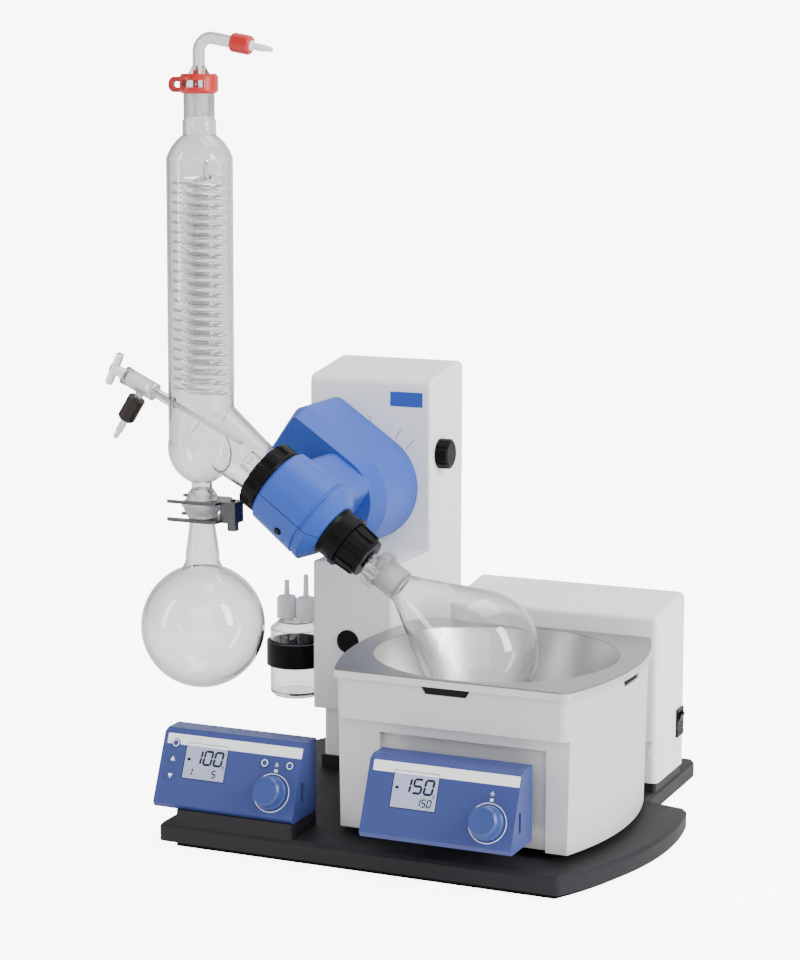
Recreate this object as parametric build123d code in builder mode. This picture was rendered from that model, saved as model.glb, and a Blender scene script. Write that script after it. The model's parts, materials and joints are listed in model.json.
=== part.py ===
"""Rotary evaporator: lift tower, swivelling drive head, upright glass condenser with a double coil,
heating bath and two operating consoles.

Millimetres. Z is up from the bench, -Y is the front, and the origin lies under the middle of the base.
"""
import math
import os

from build123d import *

# Fits
RUN = 0.05
SEAT = 0.2
FREE = 0.6

# Base
BASE_WIDTH = 473.0
BASE_DEPTH = 450.0
BASE_THICKNESS = 18.0
BASE_BEVEL = 3.5
BASE_FRONT_RIGHT = 189.0
BASE_LOBE_WIDTH = 424.0
BASE_LOBE_DEPTH = 173.0
SKIRT_HEIGHT = 8.0
SKIRT_INSET = 14.0

# Lift tower
TOWER_RIGHT = -87.0
TOWER_BACK = 221.0
BLOCK_WIDTH = 93.0
BLOCK_DEPTH = 199.0
BLOCK_BOTTOM = 93.0
LEDGE_HEIGHT = 253.0
UPPER_WIDTH = 145.0
UPPER_DEPTH = 94.0
UPPER_HEIGHT = 187.0
UPPER_RISE = 14.0
TOWER_WALL = 4.0
TOWER_EDGE = 9.0
COLUMN_GAP = 5.0
COLUMN_TOP = 240.0
PLINTH_HEIGHT = 14.0
ROD_RADIUS = 7.0
ROD_SPACING = 44.0
SPINDLE_RADIUS = 6.0
CARRIAGE_HEIGHT = 36.0
PLUG_RADIUS = 12.5

# Drive head
TILT = 34.5
PIVOT_INSET = 75.3
PIVOT_RISE = 68.2
HEAD_REACH = 191.0
SWIVEL_RADIUS = 60.0
SWIVEL_TAIL = 90.0
SWIVEL_DEPTH = 84.0
BAND_DEPTH = 24.0
BAND_TAPER = 20.0
AXIS_RISE = 13.5
PIVOT_RADIUS = 16.0
HUB_HOUSING_RADIUS = 46.0
HUB_TAPER = 5.0
HUB_BEVEL = 11.0
HUB_TOP = -31.0
HUB_LOW = 46.0
HUB_RADIUS = 20.0
BEARING_RADIUS = 27.0
BEARING_WIDTH = 12.0
SPIGOT_RADIUS = 31.5
SPIGOT_LENGTH = 13.0
SEAM_DROP = 3.0
SEAM_GAP = 0.7
BUTTON_ALONG = 8.0
BUTTON_ANGLE = 33.0
MOTOR_RADIUS = 26.0
MOTOR_LENGTH = 84.0
RING_NUT_RADIUS = 38.0
RING_NUT_LOBES = 10
SLEEVE_RADIUS = 26.5
SLEEVE_END = 63.0
COLLAR_RADIUS = 28.5
COLLAR_WIDTH = 5.0
CLAMP_NUT_RADIUS = 25.0
CLAMP_NUT_LENGTH = 26.0
CLAMP_NUT_RIBS = 10

# Rotating glass
GLASS_WALL = 2.2
VAPOUR_RADIUS = 10.0
VAPOUR_TOP = -72.0
CONE_RADIUS = 14.5
CONE_START = 109.0
CONE_LENGTH = 31.0
FLASK_RADIUS = 62.0
FLASK_CENTRE = 242.0
FLASK_NECK = 16.5
FLASK_CONE_ANGLE = 28.4

# Condenser
CONDENSER_OFFSET = 105.2
JACKET_RADIUS = 34.5
# Heights on the glass are each measured from the place before them in the chain below
JACKET_BOTTOM = 70.8
JACKET_TOP = 244.0
NECK_RADIUS = 17.5
NECK_START = 24.0
SOCKET_START = 17.0
SOCKET_TOP = 28.0
SOCKET_RADIUS = 16.0
OUTLET_RADIUS = 11.0
OUTLET_START = 46.0
BALL_RADIUS = 17.5
BALL_CENTRE = 20.0
BRANCH_RADIUS = 26.5
BRANCH_ROOT = 35.0
FLANGE_RADIUS = 30.0
FLANGE_WIDTH = 3.5
COIL_BOTTOM = 28.0
COIL_TURNS = 11
COIL_PITCH = 20.5
LEAD_SPACING = 14.0
LEAD_RADIUS = 2.8
COIL_OVERRUN = 7.0
COIL_TUBE = 3.6
OUTER_COIL = 26.0
INNER_COIL = 14.0
STOPCOCK_TILT = 25.1
STOPCOCK_HEIGHT = 20.0
BARREL_START = 60.0
BARREL_END = 94.0
BARREL_RADIUS = 9.5
ELBOW_CORNER = 56.5
ELBOW_RADIUS = 6.4
ELBOW_DROP = 10.0

# Receiver and trap
RECEIVER_RADIUS = 65.5
RECEIVER_CENTRE = 133.2
RECEIVER_NECK = 13.0
RECEIVER_NECK_LOW = 18.0
CUP_RADIUS = 22.0
JAW = 3.0
TRAP_RADIUS = 28.5
TRAP_BOTTOM = 98.0
TRAP_HEIGHT = 82.0
TRAP_STANDOFF = 33.0
TRAP_Y = 51.0
NECK_OFFSET = 11.5

# Power box
BOX_LEFT = -45.0
BOX_WIDTH = 234.0
BOX_FRONT = 79.0
BOX_DEPTH = 94.0
BOX_HEIGHT = 177.0
BOX_RISE = 11.0
BOX_PLINTH = 10.0
BOX_EDGE = 7.0
SWITCH_HALF_WIDTH = 9.0
SWITCH_HALF_HEIGHT = 13.0

# Heating bath
BATH_X = 64.0
BATH_DEPTH = 260.0
BATH_CORNER_WIDTH = 241.0
BATH_WIDTH = 292.0
BATH_FLOOR = 34.0
RIM_LOW = 187.0
RIM_TOP = 195.0
BOWL_RADIUS = 124.0
BOWL_KNEE_RADIUS = 99.0
BOWL_KNEE = 124.0
BOWL_BOTTOM = 86.0
BOWL_WALL = 1.6
CASING_INSET = 3.0
FRONT_STEP = 9.0
FRONT_STEP_HEIGHT = 146.0
GRIP_WIDTH = 54.0

# Consoles
CONSOLE_WIDTH = 155.0
CONSOLE_HEIGHT = 74.0
CONSOLE_FOOT = 5.0
PANEL_LEAN = 23.0
PANEL_LENGTH = 71.5
DRIVE_CONSOLE_X = -166.5
DRIVE_CONSOLE_Y = -221.0
DRIVE_CONSOLE_Z = 41.0
DRIVE_CONSOLE_DEPTH = 57.0
BATH_CONSOLE_Y = -252.0
BATH_CONSOLE_Z = 49.0
BATH_CONSOLE_DEPTH = 57.0
DISPLAY_WIDTH = 46.0
DISPLAY_HEIGHT = 35.0
DISPLAY_PLACE = (-27.0, 45.0)
KNOB_PLACE = (50.5, 23.5)
KNOB_RADIUS = 17.0
KNOB_HEIGHT = 15.0
KNOB_LIFT = 1.5
KNOB_SHAFT = 3.0
KEY_RADIUS = 4.5
KEY_TRAVEL = 0.5
KEY_PLACES = {
    "timer_key": (-62.5, 61.0),
    "up_key": (-63.0, 45.0),
    "down_key": (-63.0, 28.0),
    "mode_key": (38.5, 52.0),
    "set_key": (66.0, 52.0),
}

# Derived places
base_top = SKIRT_HEIGHT + BASE_THICKNESS
tower_left = TOWER_RIGHT - BLOCK_WIDTH
tower_front = TOWER_BACK - BLOCK_DEPTH
upper_left = TOWER_RIGHT - UPPER_WIDTH
upper_front = TOWER_BACK - UPPER_DEPTH
upper_top = LEDGE_HEIGHT + UPPER_HEIGHT
tower_mid = TOWER_RIGHT - BLOCK_WIDTH / 2
rod_y = TOWER_BACK - UPPER_DEPTH / 2
pivot_x = TOWER_RIGHT - PIVOT_INSET
pivot_z = LEDGE_HEIGHT + PIVOT_RISE
glass_y = upper_front - HEAD_REACH
tilt_cos = math.cos(math.radians(TILT))
tilt_sin = math.sin(math.radians(TILT))
condenser_x = pivot_x - CONDENSER_OFFSET
trap_x = tower_left - TRAP_STANDOFF

# Heights on the glass: a chain that starts at the head's pivot
jacket_bottom = pivot_z + JACKET_BOTTOM
stopcock_z = jacket_bottom + STOPCOCK_HEIGHT
coil_bottom = stopcock_z + COIL_BOTTOM
jacket_top = coil_bottom + JACKET_TOP
neck_start = jacket_top + NECK_START
socket_start = neck_start + SOCKET_START
socket_top = socket_start + SOCKET_TOP
elbow_corner = socket_top + ELBOW_CORNER
outlet_start = jacket_bottom - OUTLET_START
ball_centre = outlet_start - BALL_CENTRE
receiver_centre = ball_centre - RECEIVER_CENTRE

# Working planes: X runs along the axis that a shape is turned about
head_face = Plane(
    origin=(pivot_x, upper_front - FREE, pivot_z), x_dir=(tilt_cos, 0, -tilt_sin), z_dir=(0, -1, 0)
)
head_axis = Plane(
    origin=(pivot_x + AXIS_RISE * tilt_sin, glass_y, pivot_z + AXIS_RISE * tilt_cos),
    x_dir=(tilt_cos, 0, -tilt_sin),
    z_dir=(0, -1, 0),
)
stop_cos = math.cos(math.radians(STOPCOCK_TILT))
stop_sin = math.sin(math.radians(STOPCOCK_TILT))
stopcock = Plane(
    origin=(condenser_x, glass_y, stopcock_z), x_dir=(-stop_cos, 0, stop_sin), z_dir=(0, -1, 0)
)
vent_arm = Plane(
    origin=stopcock.origin + stopcock.x_dir * 75.0, x_dir=(-0.53, 0, -0.848), z_dir=(0, -1, 0)
)
elbow_end = Plane(
    origin=(condenser_x, glass_y, elbow_corner),
    x_dir=(math.cos(math.radians(ELBOW_DROP)), 0, -math.sin(math.radians(ELBOW_DROP))),
    z_dir=(0, -1, 0),
)


def upright(x, y):
    """Plane for a shape turned about an upright axis: X is height, Y is radius."""
    return Plane(origin=(x, y, 0), x_dir=(0, 0, 1), z_dir=(0, -1, 0))


condenser_axis = upright(condenser_x, glass_y)


def turn(plane, points, mode=Mode.ADD):
    """Turn a closed outline of (along, radius) points about the plane's X direction."""
    with BuildSketch(plane) as outline:
        with BuildLine():
            Polyline(*points, close=True)
        make_face()
    revolve(outline.sketch, axis=Axis(plane.origin, plane.x_dir), mode=mode)


def tube(plane, start, end, outer, inner):
    """Straight round tube along the plane's X direction."""
    turn(plane, [(start, inner), (start, outer), (end, outer), (end, inner)])


def rod(plane, start, end, radius, mode=Mode.ADD):
    """Straight round bar along the plane's X direction."""
    turn(plane, [(start, 0), (start, radius), (end, radius), (end, 0)], mode)


def block(x0, x1, y0, y1, z0, z1, corner=0.0, mode=Mode.ADD):
    """Upright block with rounded upright edges."""
    with BuildSketch(Plane.XY.offset(z0)) as outline:
        with Locations(((x0 + x1) / 2, (y0 + y1) / 2)):
            Rectangle(x1 - x0, y1 - y0)
        if corner:
            fillet(outline.vertices(), corner)
    extrude(outline.sketch, amount=z1 - z0, mode=mode)


def side_profile(x0, x1, points, mode=Mode.ADD):
    """Prism along X with a side outline of (y, z) points."""
    with BuildSketch(Plane.YZ.offset(x0)) as outline:
        with BuildLine():
            Polyline(*points, close=True)
        make_face()
    extrude(outline.sketch, amount=x1 - x0, mode=mode)


def save(name, shape):
    """Label a finished sub-part and write its file."""
    shape.part.label = name
    export_step(shape.part, f"parts/{name}.step")


os.makedirs("parts", exist_ok=True)


# Base plate, its soft skirt and the two rear plinths
def base_outline(inset):
    """Base footprint: straight front and left, swelling right side, a rear lobe with a cut corner."""
    left = -BASE_WIDTH / 2
    front = -BASE_DEPTH / 2
    lobe_right = left + BASE_LOBE_WIDTH
    lobe_front = BASE_DEPTH / 2 - BASE_LOBE_DEPTH
    with BuildSketch() as outline:
        with BuildLine():
            Polyline((BASE_FRONT_RIGHT, front), (left, front), (left, 0.49 * BASE_DEPTH - 112))
            Line((left, 0.49 * BASE_DEPTH - 112), (left + 52, BASE_DEPTH / 2))
            Line((left + 52, BASE_DEPTH / 2), (lobe_right, BASE_DEPTH / 2))
            Line((lobe_right, BASE_DEPTH / 2), (lobe_right, lobe_front))
            Line((lobe_right, lobe_front), (BASE_WIDTH / 2 - 3, lobe_front - 11))
            ThreePointArc(
                (BASE_WIDTH / 2 - 3, lobe_front - 11),
                (BASE_WIDTH / 2, front * 0.42),
                (BASE_FRONT_RIGHT, front),
            )
        make_face()
        fillet(outline.vertices(), 7.0)
        if inset:
            offset(amount=-inset, kind=Kind.INTERSECTION, mode=Mode.REPLACE)
    return outline.sketch


with BuildPart() as base_plate:
    extrude(base_outline(0).moved(Location((0, 0, SKIRT_HEIGHT))), amount=BASE_THICKNESS)
    chamfer(base_plate.faces().sort_by(Axis.Z)[-1].edges(), BASE_BEVEL)
    with BuildSketch(Plane.XY.offset(base_top - 1)) as pedestal:
        with Locations((DRIVE_CONSOLE_X + 13, DRIVE_CONSOLE_Y + DRIVE_CONSOLE_DEPTH / 2)):
            RectangleRounded(130, DRIVE_CONSOLE_DEPTH + 4, 4)
    extrude(pedestal.sketch, amount=DRIVE_CONSOLE_Z - base_top + 1, taper=4)
save("base_plate", base_plate)

with BuildPart() as foot_skirt:
    extrude(base_outline(SKIRT_INSET), amount=SKIRT_HEIGHT)
save("foot_skirt", foot_skirt)

column_left = tower_left + TOWER_WALL + COLUMN_GAP
column_right = TOWER_RIGHT - TOWER_WALL - COLUMN_GAP
column_front = tower_front + TOWER_WALL + COLUMN_GAP
column_back = TOWER_BACK - TOWER_WALL - COLUMN_GAP
column_foot = base_top + PLINTH_HEIGHT
with BuildPart() as rear_plinths:
    block(column_left - 3, column_right + 3, column_front - 3, column_back + 3, base_top, column_foot, 4)
    block(
        BOX_LEFT + 2, BOX_LEFT + BOX_WIDTH - 2, BOX_FRONT + 2, BOX_FRONT + BOX_DEPTH - 2,
        base_top, base_top + BOX_PLINTH, 4,
    )
save("rear_plinths", rear_plinths)

# Lift tower: fixed column with rods and spindle, moving housing with its carriage
rod_top = upper_top - TOWER_WALL - 4
rod_places = [(tower_mid - ROD_SPACING / 2, rod_y), (tower_mid + ROD_SPACING / 2, rod_y)]
column_deck = column_foot + 6
with BuildPart() as lift_column:
    block(column_left, column_right, column_front, column_back, column_foot, COLUMN_TOP, 5)
    block(
        column_left + 4, column_right - 4, column_front + 4, column_back - 4,
        column_deck, COLUMN_TOP, 2, Mode.SUBTRACT,
    )
    rod(upright(tower_mid, rod_y), column_foot, column_deck, SPINDLE_RADIUS + RUN, Mode.SUBTRACT)
save("lift_column", lift_column)

with BuildPart() as guide_rods:
    for place in rod_places:
        rod(upright(*place), column_deck, rod_top, ROD_RADIUS)
save("guide_rods", guide_rods)

with BuildPart() as lift_spindle:
    rod(upright(tower_mid, rod_y), column_foot + SEAT, rod_top, SPINDLE_RADIUS)
    turn(
        upright(tower_mid, rod_y),
        [(column_deck + SEAT, 0), (column_deck + SEAT, 9), (column_deck + 6, 9), (column_deck + 6, 0)],
    )
save("lift_spindle", lift_spindle)

lock_y = upper_front + 26.0
lock_z = LEDGE_HEIGHT + 104.0
lock_axis = Plane(origin=(TOWER_RIGHT, lock_y, lock_z), x_dir=(1, 0, 0), z_dir=(0, -1, 0))
pivot_axis = Plane(origin=(pivot_x, upper_front, pivot_z), x_dir=(0, 1, 0), z_dir=(1, 0, 0))


def tower_shape(wall, mode=Mode.ADD):
    """Tower volume: narrow deep block below, wide shallow box with a sloping roof above."""
    back = TOWER_BACK - wall
    front = upper_front + wall
    side_profile(
        upper_left + wall, TOWER_RIGHT - wall,
        [
            (front, LEDGE_HEIGHT + wall), (back, LEDGE_HEIGHT + wall),
            (back, upper_top + UPPER_RISE - wall), (front, upper_top - wall),
        ],
        mode,
    )
    block(
        tower_left + wall, TOWER_RIGHT - wall, tower_front + wall, back,
        BLOCK_BOTTOM, LEDGE_HEIGHT - wall if wall else LEDGE_HEIGHT, 0, mode,
    )
    if wall:
        block(
            tower_left + wall, TOWER_RIGHT - wall, front, back,
            LEDGE_HEIGHT - wall - 1, LEDGE_HEIGHT + wall + 1, 0, mode,
        )


with BuildPart() as tower_housing:
    tower_shape(0)
    roof = tower_housing.edges().filter_by(Axis.X).group_by(Axis.Z)[-2:]
    fillet(roof[0] + roof[1], TOWER_EDGE)
    uprights = tower_housing.edges().filter_by(Axis.Z)
    fillet(uprights.filter_by(lambda edge: edge.length > 100), 4.0)
    tower_shape(TOWER_WALL, Mode.SUBTRACT)
    rod(pivot_axis, -1, TOWER_WALL + 1, PIVOT_RADIUS + RUN, Mode.SUBTRACT)
    rod(lock_axis, -TOWER_WALL - 1, 1, 5 + RUN, Mode.SUBTRACT)
save("tower_housing", tower_housing)

carriage_bottom = LEDGE_HEIGHT + TOWER_WALL + 2
with BuildPart() as lift_carriage:
    block(
        upper_left + TOWER_WALL, TOWER_RIGHT - TOWER_WALL, rod_y - 20, TOWER_BACK - TOWER_WALL,
        carriage_bottom, carriage_bottom + CARRIAGE_HEIGHT,
    )
    for place in rod_places:
        rod(upright(*place), 0, rod_top, ROD_RADIUS + RUN, Mode.SUBTRACT)
    rod(upright(tower_mid, rod_y), 0, rod_top, SPINDLE_RADIUS + RUN, Mode.SUBTRACT)
save("lift_carriage", lift_carriage)

plug_axis = Plane(
    origin=(tower_mid - 5, tower_front, (BLOCK_BOTTOM + LEDGE_HEIGHT) / 2 - 4),
    x_dir=(0, -1, 0), z_dir=(1, 0, 0),
)
with BuildPart() as front_plug:
    turn(plug_axis, [(0, 0), (0, PLUG_RADIUS), (1.2, PLUG_RADIUS), (2.2, PLUG_RADIUS - 2), (2.2, 0)])
save("front_plug", front_plug)

with BuildPart() as lock_knob:
    turn(
        lock_axis,
        [(-TOWER_WALL - 6, 0), (-TOWER_WALL - 6, 5), (FREE, 5), (FREE, 16.5), (12, 16.5), (14, 13), (14, 0)],
    )
    with BuildSketch(Plane.YZ.offset(TOWER_RIGHT + FREE + 2)) as flutes:
        with Locations((lock_y, lock_z)):
            with PolarLocations(18.2, 12):
                Circle(2.8)
    extrude(flutes.sketch, amount=14, mode=Mode.SUBTRACT)
save("lock_knob", lock_knob)

# Overflow trap in the corner of the tower
trap_axis = upright(trap_x, TRAP_Y)
trap_top = TRAP_BOTTOM + TRAP_HEIGHT
trap_necks = [upright(trap_x - NECK_OFFSET, TRAP_Y), upright(trap_x + NECK_OFFSET, TRAP_Y)]
clip_low = TRAP_BOTTOM + 34
with BuildPart() as trap_clip:
    rod(trap_axis, clip_low, clip_low + 26, TRAP_RADIUS + 4)
    block(trap_x, tower_left, TRAP_Y - 15, TRAP_Y + 15, clip_low, clip_low + 26)
    rod(trap_axis, clip_low - 1, clip_low + 27, TRAP_RADIUS + SEAT, Mode.SUBTRACT)
save("trap_clip", trap_clip)

with BuildPart() as trap_bottle:
    turn(
        trap_axis,
        [
            (TRAP_BOTTOM, 0), (TRAP_BOTTOM, TRAP_RADIUS - 4), (TRAP_BOTTOM + 4, TRAP_RADIUS),
            (trap_top - 8, TRAP_RADIUS), (trap_top, TRAP_RADIUS - 9), (trap_top, 0),
        ],
    )
    for neck in trap_necks:
        rod(neck, trap_top - 8, trap_top + 14, 7.5)
    turn(
        trap_axis,
        [
            (TRAP_BOTTOM + 3, 0), (TRAP_BOTTOM + 3, TRAP_RADIUS - 5), (TRAP_BOTTOM + 6, TRAP_RADIUS - 2),
            (trap_top - 9, TRAP_RADIUS - 2), (trap_top - 2, TRAP_RADIUS - 10), (trap_top - 2, 0),
        ],
        Mode.SUBTRACT,
    )
    for neck in trap_necks:
        rod(neck, trap_top - 8, trap_top + 15, 5.5, Mode.SUBTRACT)
save("trap_bottle", trap_bottle)

with BuildPart() as trap_caps:
    for neck, tip in zip(trap_necks, (43, 51)):
        turn(
            neck,
            [
                (trap_top + 2, 7.5 + SEAT), (trap_top + 2, 11), (trap_top + 23, 11), (trap_top + 26, 9),
                (trap_top + 26, 3.2), (trap_top + tip, 2.6), (trap_top + tip, 1.4),
                (trap_top + 14 + SEAT, 1.4), (trap_top + 14 + SEAT, 7.5 + SEAT),
            ],
        )
save("trap_caps", trap_caps)

# Drive head: one moulded form, parted into an upper and a lower shell along a seam
hub_end = HUB_TOP - SPIGOT_LENGTH
neck_top = HUB_TOP + 1
neck_low = HUB_LOW - HUB_BEVEL - 1
rib_start = HUB_LOW - HUB_BEVEL - 5


def hub_radius(along):
    """Radius of the hub housing, which widens towards its lower end."""
    return HUB_HOUSING_RADIUS - HUB_TAPER * (HUB_LOW - HUB_BEVEL - along) / (HUB_LOW - HUB_BEVEL - HUB_TOP)


with BuildPart() as head_form:
    with BuildSketch(head_face) as swivel:
        with BuildLine():
            Line((-SWIVEL_TAIL, -SWIVEL_RADIUS), (-SWIVEL_TAIL, SWIVEL_RADIUS))
            Line((-SWIVEL_TAIL, SWIVEL_RADIUS), (0, SWIVEL_RADIUS))
            ThreePointArc((0, SWIVEL_RADIUS), (SWIVEL_RADIUS, 0), (0, -SWIVEL_RADIUS))
            Line((0, -SWIVEL_RADIUS), (-SWIVEL_TAIL, -SWIVEL_RADIUS))
        make_face()
        fillet(swivel.vertices().group_by(Axis.X)[0], 14)
    extrude(swivel.sketch, amount=SWIVEL_DEPTH)
    extrude(
        swivel.sketch.moved(Location((0, -SWIVEL_DEPTH, 0))), amount=BAND_DEPTH, taper=BAND_TAPER
    )
    with BuildSketch(head_axis) as neck:
        with Locations(((neck_low + neck_top) / 2, -4)):
            RectangleRounded(neck_low - neck_top, 76, 14)
    extrude(neck.sketch, amount=-(HEAD_REACH - SWIVEL_DEPTH - 4))
    turn(
        head_axis,
        [
            (hub_end, 0), (hub_end, SPIGOT_RADIUS), (HUB_TOP, SPIGOT_RADIUS),
            (HUB_TOP, hub_radius(HUB_TOP) - 3), (HUB_TOP + 3, hub_radius(HUB_TOP + 3)),
            (rib_start - 5, hub_radius(rib_start - 5)), (rib_start - 4, hub_radius(rib_start) - 2),
            (rib_start - 1, hub_radius(rib_start) - 2), (rib_start, hub_radius(rib_start)),
            (HUB_LOW - HUB_BEVEL, HUB_HOUSING_RADIUS), (HUB_LOW, HUB_HOUSING_RADIUS - 1.3 * HUB_BEVEL),
            (HUB_LOW, 0),
        ],
    )
    rod(head_axis, hub_end - 1, HUB_LOW + 1, HUB_RADIUS + 1.5, Mode.SUBTRACT)
    rod(head_axis, HUB_TOP + 4, HUB_LOW + 1, BEARING_RADIUS, Mode.SUBTRACT)
    rod(pivot_axis, -30, 1, PIVOT_RADIUS, Mode.SUBTRACT)
motor_axis = Plane(
    origin=(pivot_x, upper_front - SWIVEL_DEPTH / 2 - 18, pivot_z),
    x_dir=head_axis.x_dir, z_dir=(0, -1, 0),
)
button_cos = math.cos(math.radians(BUTTON_ANGLE))
button_sin = math.sin(math.radians(BUTTON_ANGLE))
button_reach = hub_radius(BUTTON_ALONG)
button_axis = Plane(
    origin=head_axis.from_local_coords((BUTTON_ALONG, -button_reach * button_sin, button_reach * button_cos)),
    x_dir=head_axis.z_dir * button_cos - head_axis.y_dir * button_sin,
    z_dir=head_axis.x_dir,
)
with BuildPart() as head_body:
    add(head_form.part)
    rod(motor_axis, -MOTOR_LENGTH + 24, 24, MOTOR_RADIUS, Mode.SUBTRACT)
    rod(button_axis, -9, 4, 4 + RUN, Mode.SUBTRACT)
swivel_front = upper_front - FREE - SWIVEL_DEPTH - BAND_DEPTH


def cover_zone(gap, mode):
    """Space of the hub cover: below the seam and in front of the swivel."""
    reach = 2 * HEAD_REACH
    with BuildSketch(head_axis.offset(HUB_HOUSING_RADIUS + 1)) as zone:
        with Locations((0, -SEAM_DROP - gap - reach / 2)):
            Rectangle(reach, reach)
    extrude(zone.sketch, amount=-(swivel_front - gap - glass_y + HUB_HOUSING_RADIUS + 1), mode=mode)


with BuildPart() as head_upper_shell:
    add(head_body.part)
    cover_zone(0, Mode.SUBTRACT)
save("head_upper_shell", head_upper_shell)

with BuildPart() as head_lower_shell:
    add(head_body.part)
    cover_zone(SEAM_GAP, Mode.INTERSECT)
save("head_lower_shell", head_lower_shell)

with BuildPart() as pivot_shaft:
    rod(pivot_axis, -30, TOWER_WALL + 10, PIVOT_RADIUS)
    tube(pivot_axis, TOWER_WALL + FREE, TOWER_WALL + 8, PIVOT_RADIUS + 8, PIVOT_RADIUS - 1)
save("pivot_shaft", pivot_shaft)

with BuildPart() as drive_motor:
    turn(
        motor_axis,
        [
            (-MOTOR_LENGTH + 24, 0), (-MOTOR_LENGTH + 24, MOTOR_RADIUS), (8, MOTOR_RADIUS),
            (8, 5), (24, 5), (24, 0),
        ],
    )
save("drive_motor", drive_motor)

with BuildPart() as hub_bearings:
    for start in (HUB_TOP + 4, HUB_LOW - BEARING_WIDTH - 2):
        tube(head_axis, start, start + BEARING_WIDTH, BEARING_RADIUS, HUB_RADIUS + RUN)
save("hub_bearings", hub_bearings)

with BuildPart() as lock_button:
    turn(button_axis, [(-5, 0), (-5, 4), (1.2, 4), (2, 3.2), (2, 0)])
save("lock_button", lock_button)

# Rotating hub with the clamp nut, the vapour tube and the evaporating flask
nut_start = SLEEVE_END + COLLAR_WIDTH
nut_end = nut_start + CLAMP_NUT_LENGTH
spigot_end = nut_end - 8
with BuildPart() as hub_sleeve:
    turn(
        head_axis,
        [
            (hub_end + 2, VAPOUR_RADIUS + SEAT), (hub_end + 2, HUB_RADIUS), (HUB_LOW + FREE, HUB_RADIUS),
            (HUB_LOW + FREE, SLEEVE_RADIUS + 1.5), (HUB_LOW + 5, SLEEVE_RADIUS), (SLEEVE_END, SLEEVE_RADIUS),
            (SLEEVE_END, COLLAR_RADIUS), (nut_start, COLLAR_RADIUS), (nut_start, 18), (spigot_end, 18),
            (spigot_end, VAPOUR_RADIUS + SEAT),
        ],
    )
save("hub_sleeve", hub_sleeve)

with BuildPart() as clamp_nut:
    turn(
        head_axis,
        [
            (nut_start + FREE, 18 + RUN), (nut_start + FREE, CLAMP_NUT_RADIUS - 1),
            (nut_end, CLAMP_NUT_RADIUS - 4),
            (nut_end, VAPOUR_RADIUS + FREE), (spigot_end + FREE, VAPOUR_RADIUS + FREE),
            (spigot_end + FREE, 18 + RUN),
        ],
    )
    nut_face = Plane(
        origin=head_axis.from_local_coords((nut_start + FREE, 0, 0)), x_dir=(0, 1, 0), z_dir=head_axis.x_dir
    )
    with BuildSketch(nut_face) as ribs:
        with PolarLocations(CLAMP_NUT_RADIUS - 2.2, CLAMP_NUT_RIBS):
            Rectangle(4.4, 8.6)
    extrude(ribs.sketch, amount=CLAMP_NUT_LENGTH - 5, taper=4)
save("clamp_nut", clamp_nut)

cone_end = CONE_START + CONE_LENGTH
with BuildPart() as vapour_tube:
    turn(
        head_axis,
        [
            (VAPOUR_TOP, VAPOUR_RADIUS + 1), (VAPOUR_TOP + 10, VAPOUR_RADIUS), (CONE_START - 8, VAPOUR_RADIUS),
            (CONE_START - 5, FLASK_NECK + 1), (CONE_START - 1, FLASK_NECK + 1), (CONE_START, CONE_RADIUS),
            (cone_end - 3, CONE_RADIUS - 2.2), (cone_end, VAPOUR_RADIUS),
            (cone_end, VAPOUR_RADIUS - GLASS_WALL),
            (VAPOUR_TOP, VAPOUR_RADIUS - GLASS_WALL),
        ],
    )
save("vapour_tube", vapour_tube)

flask_slope = math.radians(FLASK_CONE_ANGLE)


def flask_outline(skin):
    """Pear-shaped flask without its neck: a cone that runs tangent into a sphere."""
    radius = FLASK_RADIUS - skin
    join = FLASK_CENTRE - radius * math.sin(flask_slope)
    join_radius = radius * math.cos(flask_slope)
    neck = FLASK_NECK - skin
    cone_start = join - (join_radius - neck) / math.tan(flask_slope)
    with BuildSketch(head_axis) as outline:
        with BuildLine():
            Line((FLASK_CENTRE + radius, 0), (cone_start, 0))
            Line((cone_start, 0), (cone_start, neck))
            Line((cone_start, neck), (join, join_radius))
            ThreePointArc(
                (join, join_radius),
                (FLASK_CENTRE + radius * math.sin(math.pi / 6), radius * math.cos(math.pi / 6)),
                (FLASK_CENTRE + radius, 0),
            )
        make_face()
    return outline.sketch, cone_start


with BuildPart() as evaporating_flask:
    pear, pear_start = flask_outline(0)
    revolve(pear, axis=Axis(head_axis.origin, head_axis.x_dir))
    turn(
        head_axis,
        [
            (CONE_START, 0), (CONE_START, FLASK_NECK + 2.5), (CONE_START + 4, FLASK_NECK + 2.5),
            (CONE_START + 6, FLASK_NECK), (pear_start + 1, FLASK_NECK), (pear_start + 1, 0),
        ],
    )
    hollow, hollow_start = flask_outline(GLASS_WALL)
    revolve(hollow, axis=Axis(head_axis.origin, head_axis.x_dir), mode=Mode.SUBTRACT)
    turn(
        head_axis,
        [
            (CONE_START, 0), (CONE_START, CONE_RADIUS + SEAT), (cone_end - 3, CONE_RADIUS - 2.2 + SEAT),
            (cone_end, FLASK_NECK - GLASS_WALL), (hollow_start + 1, FLASK_NECK - GLASS_WALL),
            (hollow_start + 1, 0),
        ],
        Mode.SUBTRACT,
    )
save("evaporating_flask", evaporating_flask)

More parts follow.
